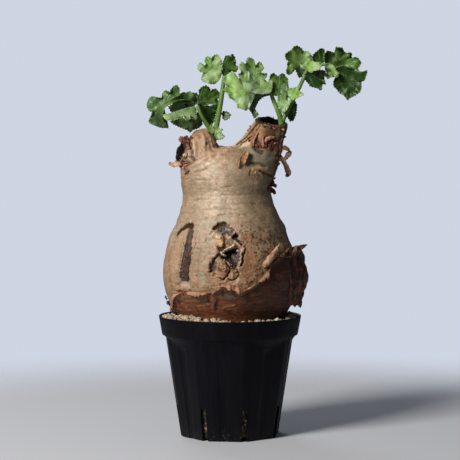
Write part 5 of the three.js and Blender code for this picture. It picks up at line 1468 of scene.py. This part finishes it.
RIGHT_BLADES = [
    (0.1, 1, 0.1, -0.3, 1, (24, 112), [
        (34.6, 117), (30.7, 118.5), (25.4, 117), (21.6, 114.7), (18.5, 108.6), (17, 104.7),
        (20.8, 101.3), (22.5, 104.7), (24.6, 108.6), (29.2, 112.2), (35.3, 113.5)]),
    (0.86, -3, 0.36, 0.4, -3.5, (14, 116), [
        (35.3, 117.7), (33, 115.4), (28.4, 114.7), (23.9, 115.4), (21.6, 115.4), (20, 112.4),
        (17.7, 107.8), (17, 105.1), (13.9, 100.5), (10.1, 102.4), (6.3, 103.1), (6.4, 106.3),
        (4, 109.2), (-0.5, 111.5), (-1.4, 115.1), (-6.1, 117.7), (-2.1, 120.8), (-5.2, 125),
        (-4.3, 129.2), (-0.6, 131.3), (1.7, 133.4), (4, 130.7), (5.5, 127.7), (8.6, 126.1),
        (11.6, 126.9), (13.2, 133), (15.4, 133.4), (17.4, 128.4), (19.3, 124.6), (21.6, 122.2),
        (26.1, 120.6), (30.7, 121.4), (35.7, 126.1), (35.3, 122.3)]),
    (0.72, -1, 0.25, 0.3, 4, (19.5, 132.5), [
        (33, 119.3), (32.1, 124.6), (29.2, 126.1), (31.7, 129.2), (31.3, 132.4), (28.4, 131.3),
        (26.1, 132.6), (29.2, 135.7), (26.9, 140.7), (24.2, 142.1), (21.6, 138.8), (20.8, 143),
        (17.7, 145.3), (14.7, 145.6), (12.8, 143), (13.3, 139.9), (9.7, 142.1), (7.6, 139.5),
        (7.2, 136.1), (9.3, 133), (6.3, 131.1), (7.8, 126.9), (12.4, 125.4), (17.7, 122),
        (21.6, 119.6), (26.9, 118.4)]),
    (0.3, -12, 0, 0.3, 1, (19.8, 98.5), [
        (17, 105.5), (15.4, 101.7), (17.7, 98.6), (20.2, 93.3), (22.7, 94.8), (24.8, 97.1),
        (22.3, 100.5), (20.8, 103.2), (18.9, 104.7)]),
    (0.45, -2, 0.1, 0.25, 2, (41.5, 121), [
        (40.7, 113.2), (36.9, 113.2), (33.8, 117.7), (32.6, 122.3), (33.4, 126.9), (34.4, 130.4),
        (36.5, 131.7), (38.8, 129.6), (41.4, 128.8), (43, 131.3), (45.3, 131.3), (46.4, 128.8),
        (48.3, 127.7), (48.5, 123.1), (49.1, 118.5), (48.3, 114.7), (49.8, 111.6), (44.5, 113.2)]),
    (0.8, -5, 0.1, 0.15, 1.5, (45, 107), [
        (44.9, 97.9), (41.4, 102.4), (40.3, 107.8), (40.7, 112.2), (44.5, 113.2), (47.6, 113.2),
        (48.3, 108.6), (51.4, 108.6), (47.9, 101.7)]),
    (0.9, -6, 0.1, 0.5, 1, (54.5, 114.5), [
        (51.6, 109.2), (49.3, 113), (48.8, 118.4), (52.8, 119.1), (56.6, 119.9), (58.3, 116.8),
        (61.8, 114.1), (56.6, 111.5), (53.7, 109.9)]),
    (0.08, 2, 0.2, -0.2, 1, (52.5, 100), [
        (53.7, 109.2), (56, 105.4), (55.4, 97.7), (53.1, 92.4), (50.8, 91.6), (48, 96.2), (49.3, 101.5)]),
    (0.62, 1, 0.45, 0.25, 3, (57.5, 144), [
        (64.6, 135.9), (58.9, 137.5), (54.3, 135.2), (51.2, 131.3), (48.5, 131), (47.4, 133.6),
        (48.9, 137.5), (48.2, 140.1), (50.1, 142.1), (47.4, 143.6), (46.5, 147.4), (48.9, 149.5),
        (52, 151.2), (53.7, 153.9), (56.6, 154.7), (60, 152.6), (62.1, 149.5), (65, 150.1), (68, 147),
        (69.7, 142.8), (66.5, 141.7), (64.2, 139.8)]),
    (0.12, 3, 0, -0.4, 1, (59, 133.5), [
        (64.2, 135.2), (58.9, 137.5), (54.3, 135.2), (56.6, 129.8), (58.1, 127.5), (60.4, 128.3)]),
    (0.85, -1, -0.7, 0.8, -1, (67.5, 138), [
        (64.6, 135.2), (62.7, 138.1), (58.9, 139.8), (55.4, 142.2), (58.9, 143.4), (64.2, 142.2),
        (70.3, 140.9), (76.5, 140.5), (77.6, 139.8), (75.3, 135.8), (71.9, 135.2), (68, 132.5)]),
    (0.1, 1.5, -0.2, -0.3, 2, (72.5, 127), [
        (65, 132.9), (69.6, 132.9), (74.2, 134.3), (79.5, 133.8), (80.9, 131.3), (78.7, 129.1),
        (79.5, 125.2), (80.1, 122.9), (77.4, 123.3), (76.6, 117.4), (74.2, 119.3), (70.3, 120.3),
        (67.3, 121.3), (65.8, 124.1), (62.3, 127.5), (63.1, 130.6)]),
    (0.22, 7, 0.2, 0.2, 1.5, (75, 146), [
        (76.5, 140.1), (71.9, 140.9), (69.4, 143.6), (70.3, 147.4), (71.9, 148.9), (74.2, 150.8),
        (76.5, 152.6), (78.9, 152.1), (79.5, 148.2), (80.4, 144.7), (79.5, 141.7)]),
    (0.46, 5, 0.2, 0.3, 3, (92, 140.5), [
        (80.3, 139.8), (79.5, 144.3), (79.5, 147.8), (82.2, 150.6), (84.5, 149.7), (86.8, 148.6),
        (88.8, 149.7), (89.3, 153.7), (91.9, 153.1), (94.4, 152.9), (95.4, 149.7), (97.9, 148.3),
        (100.2, 149.1), (102.3, 148.6), (101.5, 145.5), (102.8, 144), (106.7, 145.1), (108.2, 143.2),
        (110.2, 141.1), (108.9, 138.1), (107.2, 136.3), (107.8, 134), (102.4, 132.1), (97.9, 131.7),
        (93.3, 132.1), (90.2, 129.8), (87.2, 132.9), (83.3, 135.9)]),
    (0.1, 3, -0.3, -0.1, 2, (100, 124.5), [
        (87.2, 135.2), (90.2, 136.7), (94.8, 138.2), (102.4, 135.9), (107.4, 134.4), (110.1, 132.9),
        (112.8, 132.9), (115.6, 134), (114.5, 131.3), (113.5, 128.3), (113.2, 126.4), (110.1, 125.2),
        (110.2, 119.9), (108.9, 116.1), (104.7, 113.2), (100.9, 111.5), (98.6, 109.3), (97.5, 111.9),
        (94.8, 114.1), (92.1, 115.3), (90.2, 118.4), (87.2, 121.4), (87.5, 125.6), (89.8, 129.1),
        (87.2, 132.1)]),
    (0.65, 2, -0.3, 0.3, 1.5, (85.5, 133.5), [
        (81, 139), (84.1, 140.1), (87.2, 138.2), (88.7, 134.4), (91.4, 131.3), (90.1, 128.4),
        (87.2, 129.2), (84.1, 128.7), (82.2, 127.5), (80.3, 129.7), (81.8, 132.9), (80.1, 135.9)]),
]
# Stalks: x, y, z and radius along each
LEFT_STALKS = [
    [(-15, 3, 240.6, 2.4), (-13.5, 3, 248.5, 2.35), (-12, 2, 256.5, 2.3), (-8.8, 1, 273.5, 2.2),
     (-5.8, 1, 292.5, 1.9), (-5.2, 1, 301, 1.4)],
    [(-12.6, 2.4, 253, 1.9), (-19, 2, 260.5, 2), (-24, 0, 268.5, 1.7), (-27.3, -1, 277, 1.3)],
]
RIGHT_STALKS = [
    [(43.2, 1, 255, 2.1), (43, 1, 265, 2.3), (41, 0, 271, 2.1), (36.5, -1, 281, 1.8),
     (33.2, -2.2, 290, 1.4)],
    [(43.2, 1, 262, 1.9), (47.5, 1, 272, 1.9), (54, 2, 284, 1.8), (60, 3, 296, 1.7), (65, 2, 308, 1.4)],
    [(64.5, 2, 307, 1.3), (73, 4, 311.5, 1.4), (82, 5, 311.5, 1.2)],
]
LEAF_THICKNESS = 0.6
MARGIN_POINTS = 200
RIPPLES = 9
RING_SHARES = np.array([0.03, 0.14, 0.26, 0.38, 0.5, 0.6, 0.69, 0.77, 0.83, 0.88, 0.92, 0.955, 0.98, 1])
# The lit and the shaded green between which the blades' painted light and shade runs.
LEAF_LIT_GREEN = np.array([0.262, 0.442, 0.098])
LEAF_SHADED_GREEN = np.array([0.014, 0.05, 0.001])
LEAF_BLOOM_HIGHLIGHT = np.array([0.42, 0.53, 0.38])
LEAF_VEIN = np.array([0.46, 0.6, 0.32])
LEAF_MARGIN = np.array([0.33, 0.5, 0.18])
LEAF_UNDER = np.array([0.17, 0.28, 0.1])
STALK_DARK, STALK_PALE = (0.12, 0.22, 0.04), (0.22, 0.38, 0.09)


def make_leaf_finish():
    """Leaf green with a waxy bloom: lighter veins from the tint, fine cells, soft gloss."""
    material, tree, shader = new_finish("green leaf")
    cells = mottle(tree, 700, 0.3, 0.7)
    clouds = mottle(tree, 110, 0.35, 0.7)
    colour = shaded(tree, painted(tree), cells, (0.86, 0.88, 0.84), (1.08, 1.06, 1.08))
    colour = shaded(tree, colour, clouds, (0.84, 0.9, 0.82), (1.12, 1.06, 1.15))
    dress(tree, shader, colour, ranged(tree, clouds, 0.32, 0.5), 0.36, cells, 0.12, 0.7)
    shader.inputs["Subsurface Weight"].default_value = 0.1
    shader.inputs["Subsurface Scale"].default_value = 1.5 * MM
    return material


def seen_at(across, up, depth):
    """The place that the eye sees at a point of the picture, at a depth y. The sight line
    from the eye through that point is followed until it comes to the depth."""
    tilt = np.radians(EYE_TILT)
    reach = -EYE[1] / np.cos(tilt)
    ahead = reach * np.cos(tilt) + up * np.sin(tilt)
    line = joined(across, ahead, -reach * np.sin(tilt) + up * np.cos(tilt))
    return EYE + line * ((depth - EYE[1]) / line[..., 1])[..., None]


def round_margin(outline, seed):
    """A closed margin through a few points: even steps along it, softened by a running mean,
    with small teeth pushed out square to it. Also how far each point stands out as a lobe."""
    closed = np.array([*outline, outline[0]], float)
    even = resampled(np.insert(closed, 2, 0, axis=1), MARGIN_POINTS + 1)[:-1, :2]
    soft = sum(np.roll(even, k, axis=0) for k in (-1, 0, 1)) / 3
    size = MARGIN_POINTS // 11
    broad = sum(np.roll(soft, k, axis=0) for k in range(-size, size + 1)) / (2 * size + 1)
    step = np.roll(soft, -1, axis=0) - np.roll(soft, 1, axis=0)
    out = unit(np.stack([-step[:, 1], step[:, 0]], -1))
    lobe = np.sum((soft - broad) * out, axis=1)
    travelled = np.cumsum(np.linalg.norm(step, axis=1) / 2)
    teeth = 0.6 * np.abs(np.sin(np.pi * travelled / 2.3 + seed)) + 0.05
    return soft + out * teeth[:, None], lobe


def blade_tint(points, tone, share, lobe, vein, seed):
    """A blade's colour: from a shaded to a lit green by its tone, as painted light and shade, clouded,
    with painted shade where a lobe stands out and in scattered pockets, a pale waxy bloom laid only where
    the blade is lit so that it is also a painted highlight, pale veins and a pale margin."""
    shade = tone + 0.2 * rumple(points, 5, seed + 3)
    # Painted shade on the lobes near the margin.
    shade = shade - 0.2 * smooth((share - 0.72) / 0.28) * np.clip(lobe + 0.4, 0, 1)
    # Scattered dark pockets: painted shade.
    hollow = smooth(1.3 * rumple(points, 3, seed + 5) - 0.15)
    shade = 0.5 + 1.45 * (shade - 0.55) - 0.4 * hollow
    tint = washed(LEAF_SHADED_GREEN, LEAF_LIT_GREEN, np.clip(shade, 0, 1.1) ** 1.35)
    # The waxy bloom, kept to the lit blades and their lighter places: partly the leaf's own bloom, partly
    # a painted highlight.
    bloom = smooth(1.3 * rumple(points, 6, seed + 6) + 1.1 * tone - 0.4)
    bloom = bloom * smooth((shade - 0.4) / 0.4) * smooth(1.8 * tone - 0.4)
    tint = washed(tint, LEAF_BLOOM_HIGHLIGHT, 0.6 * bloom)
    tint = washed(tint, mixed(tint, LEAF_VEIN, 0.6), 0.45 * vein)
    edge = smooth((share - 0.955) / 0.045) * np.ones_like(vein)
    return washed(tint, LEAF_MARGIN, 0.35 * edge)


def blade_sheet(tone, depth, across_rise, up_rise, bow, heart, outline, seed):
    """A blade: rings of points from its heart out to its margin. Its depth is a sloping plane
    bowed in the middle, with waves that grow with the fifth and sixth powers of the way out,
    so that the lobes curl. Veins fan out from the root. Gives its upper side and its tint."""
    margin, lobe = round_margin(outline, seed)
    heart, root = np.array(heart), np.array(outline[0])
    share = RING_SHARES[:, None]
    flat = heart + (margin - heart) * share[..., None]
    far = flat - root
    ripple = np.sin(np.arange(MARGIN_POINTS) * 2 * np.pi * RIPPLES / MARGIN_POINTS + seed)
    ruffle = share**5 * np.clip(lobe, -1.6, 1.6) * -1.7 + share**6 * 0.9 * ripple
    place = np.insert(flat, 2, seed * 3, -1)
    sway = 1.9 * rumple(place, 6, seed)
    sway = sway + 0.75 * rumple(place, 2.6, seed + 4) * smooth(share * 1.4)
    extent = np.sqrt(np.ptp(margin[:, 0]) * np.ptp(margin[:, 1])) / 25
    reach = 1.25 * np.linalg.norm(margin - heart, axis=-1).mean()
    bowed = bow * (1 - (np.linalg.norm(flat - heart, axis=-1) / reach) ** 2) * min(extent, 1.2)
    deep = depth + across_rise * far[..., 0] + up_rise * far[..., 1] + bowed
    points = seen_at(flat[..., 0], flat[..., 1], deep + (ruffle + sway) * min(extent, 1))
    angle = np.arctan2(far[..., 1], far[..., 0])
    away = np.linalg.norm(far, axis=-1)
    vein = smooth(1 - np.abs(np.sin(5 * angle + seed)) * away / 2.2)
    vein = vein * smooth(away / 6) * smooth((1.03 - share) * 5)
    return points, blade_tint(points, tone, share, lobe, vein, seed)


def blade_solid(front, thickness):
    """A sheet of rings with both sides, its rim and its heart closed."""
    points, faces = slab(front, thickness, around=True)
    rows, columns = front.shape[:2]
    ring, under = np.arange(columns), rows * columns
    hearts = [points[:columns].mean(0), points[under : under + columns].mean(0)]
    wall_at_heart = slice(len(faces) - 2 * columns, len(faces) - columns)
    kept = np.delete(faces, wall_at_heart, axis=0)
    upper = fan(len(points), ring)
    lower = fan(len(points) + 1, under + ring, facing_up=True)
    return np.concatenate([points, hearts]), kept.tolist() + upper.tolist() + lower.tolist()


def stalk_skin(path, sides=14):
    """A stalk: rings along a softened path, closed at both ends."""
    fine = resampled(path, 36, 4)
    rings = limb_rings(np.insert(fine, 4, 1, axis=1), unit(np.gradient(fine[:, :3], axis=0)), sides)
    return closed_skin(rings)


LEAF = make_leaf_finish()
for side, outlines, paths in (
    ("left", LEFT_BLADES, LEFT_STALKS),
    ("right", RIGHT_BLADES, RIGHT_STALKS),
):
    blades = []
    for order, blade in enumerate(outlines):
        sheet, tint = blade_sheet(*blade, order + 1)
        under = mixed(tint, LEAF_UNDER, 0.35)
        hearts = np.array([tint[0, 0], under[0, 0]])
        both = np.concatenate([tint.reshape(-1, 3), under.reshape(-1, 3), hearts])
        blades.append((*blade_solid(sheet, LEAF_THICKNESS), both))
    place_piece("leaves_" + side, "leaf", ["shoot_" + side], LEAF, *gathered(blades))
    stalks = []
    for path in paths:
        points, faces = stalk_skin(path)
        shade = washed(STALK_DARK, STALK_PALE, smooth(0.5 + rumple(points, 6, 9)))
        stalks.append((points, faces, shade))
    place_piece("stalks_" + side, "leaf", ["shoot_" + side], LEAF, *gathered(stalks))


# STUDIO. A plain pale floor that fades into a plain pale surround, one large soft light high on
# the left front, a weak one behind and a weak even fill, and the camera at the photograph's angle.
FLOOR_SPOKES = 96
FLOOR_DROP = 0.2


def make_floor():
    """A disc of floor: rings of points, opaque in the middle and faded out at its rim."""
    turn = np.linspace(0, 360, FLOOR_SPOKES, endpoint=False)
    rings = np.array([at_bearing(turn, r, -FLOOR_DROP) for r in (10, 120, 300, 600, 900)])
    points = np.concatenate([rings.reshape(-1, 3), [[0, 0, -FLOOR_DROP]]]) * MM
    sides = grid_faces(len(rings), FLOOR_SPOKES, around=True)[:, ::-1]
    hub = fan(len(points) - 1, np.arange(FLOOR_SPOKES), facing_up=True)
    mesh = bpy.data.meshes.new("floor")
    mesh.from_pydata(points.tolist(), [], sides.tolist() + hub.tolist())
    floor = bpy.data.objects.new("floor", mesh)
    bpy.context.scene.collection.objects.link(floor)
    material, tree, shader = new_finish("pale floor")
    shader.inputs["Roughness"].default_value = 0.8
    shader.inputs["Base Color"].default_value = (0.52, 0.53, 0.56, 1)
    place = add_node(tree, "ShaderNodeTexCoord").outputs["Object"]
    far = add_node(tree, "ShaderNodeVectorMath", {"Vector": place}, operation="LENGTH").outputs["Value"]
    inputs = {"Value": far, "From Min": 0.25, "From Max": 0.6, "To Min": 1, "To Max": 0}
    shown = add_node(tree, "ShaderNodeMapRange", inputs, interpolation_type="SMOOTHSTEP")
    connect(tree, shown.outputs["Result"], shader.inputs["Alpha"])
    mesh.materials.append(material)


def soft_light(name, place, target, size, power, colour):
    """A square soft light at a place, aimed at a target, in metres and watts."""
    lamp = bpy.data.lights.new(name, "AREA")
    lamp.size = size
    lamp.energy = power
    lamp.color = colour
    light = bpy.data.objects.new(name, lamp)
    light.location = place
    away = np.array(place, float) - np.array(target, float)
    flat = np.hypot(away[0], away[1])
    light.rotation_euler = (np.arctan2(flat, away[2]), 0, np.arctan2(away[0], -away[1]))
    bpy.context.scene.collection.objects.link(light)


def make_world():
    """Pale blue-grey where the camera looks past the plant, and a dimmer even fill."""
    world = bpy.data.worlds.new("surround")
    bpy.context.scene.world = world
    world.use_nodes = True
    tree = world.node_tree
    seen = add_node(tree, "ShaderNodeBackground", {"Color": (0.62, 0.665, 0.765), "Strength": 1})
    fill = add_node(tree, "ShaderNodeBackground", {"Color": (0.8, 0.88, 1), "Strength": 0.1})
    way = add_node(tree, "ShaderNodeLightPath").outputs["Is Camera Ray"]
    both = add_node(tree, "ShaderNodeMixShader", {0: way, 1: fill.outputs[0], 2: seen.outputs[0]})
    tree.links.new(both.outputs[0], tree.nodes["World Output"].inputs["Surface"])


make_floor()
make_world()
soft_light("window", (-1.36, -1.56, 1.42), (0, 0, 0.17), 0.75, 80, (1, 0.965, 0.92))
soft_light("back glow", (-0.5, 1.3, 1), (0, 0, 0.2), 0.8, 6, (0.88, 0.94, 1))

eye = bpy.data.cameras.new("camera")
eye.sensor_width = 36
eye.lens = 139.77
camera = bpy.data.objects.new("camera", eye)
camera.location = EYE * MM
camera.rotation_euler = (np.radians(90 - EYE_TILT), 0, 0)
bpy.context.scene.collection.objects.link(camera)
bpy.context.scene.camera = camera
bpy.context.scene.view_settings.view_transform = "Standard"
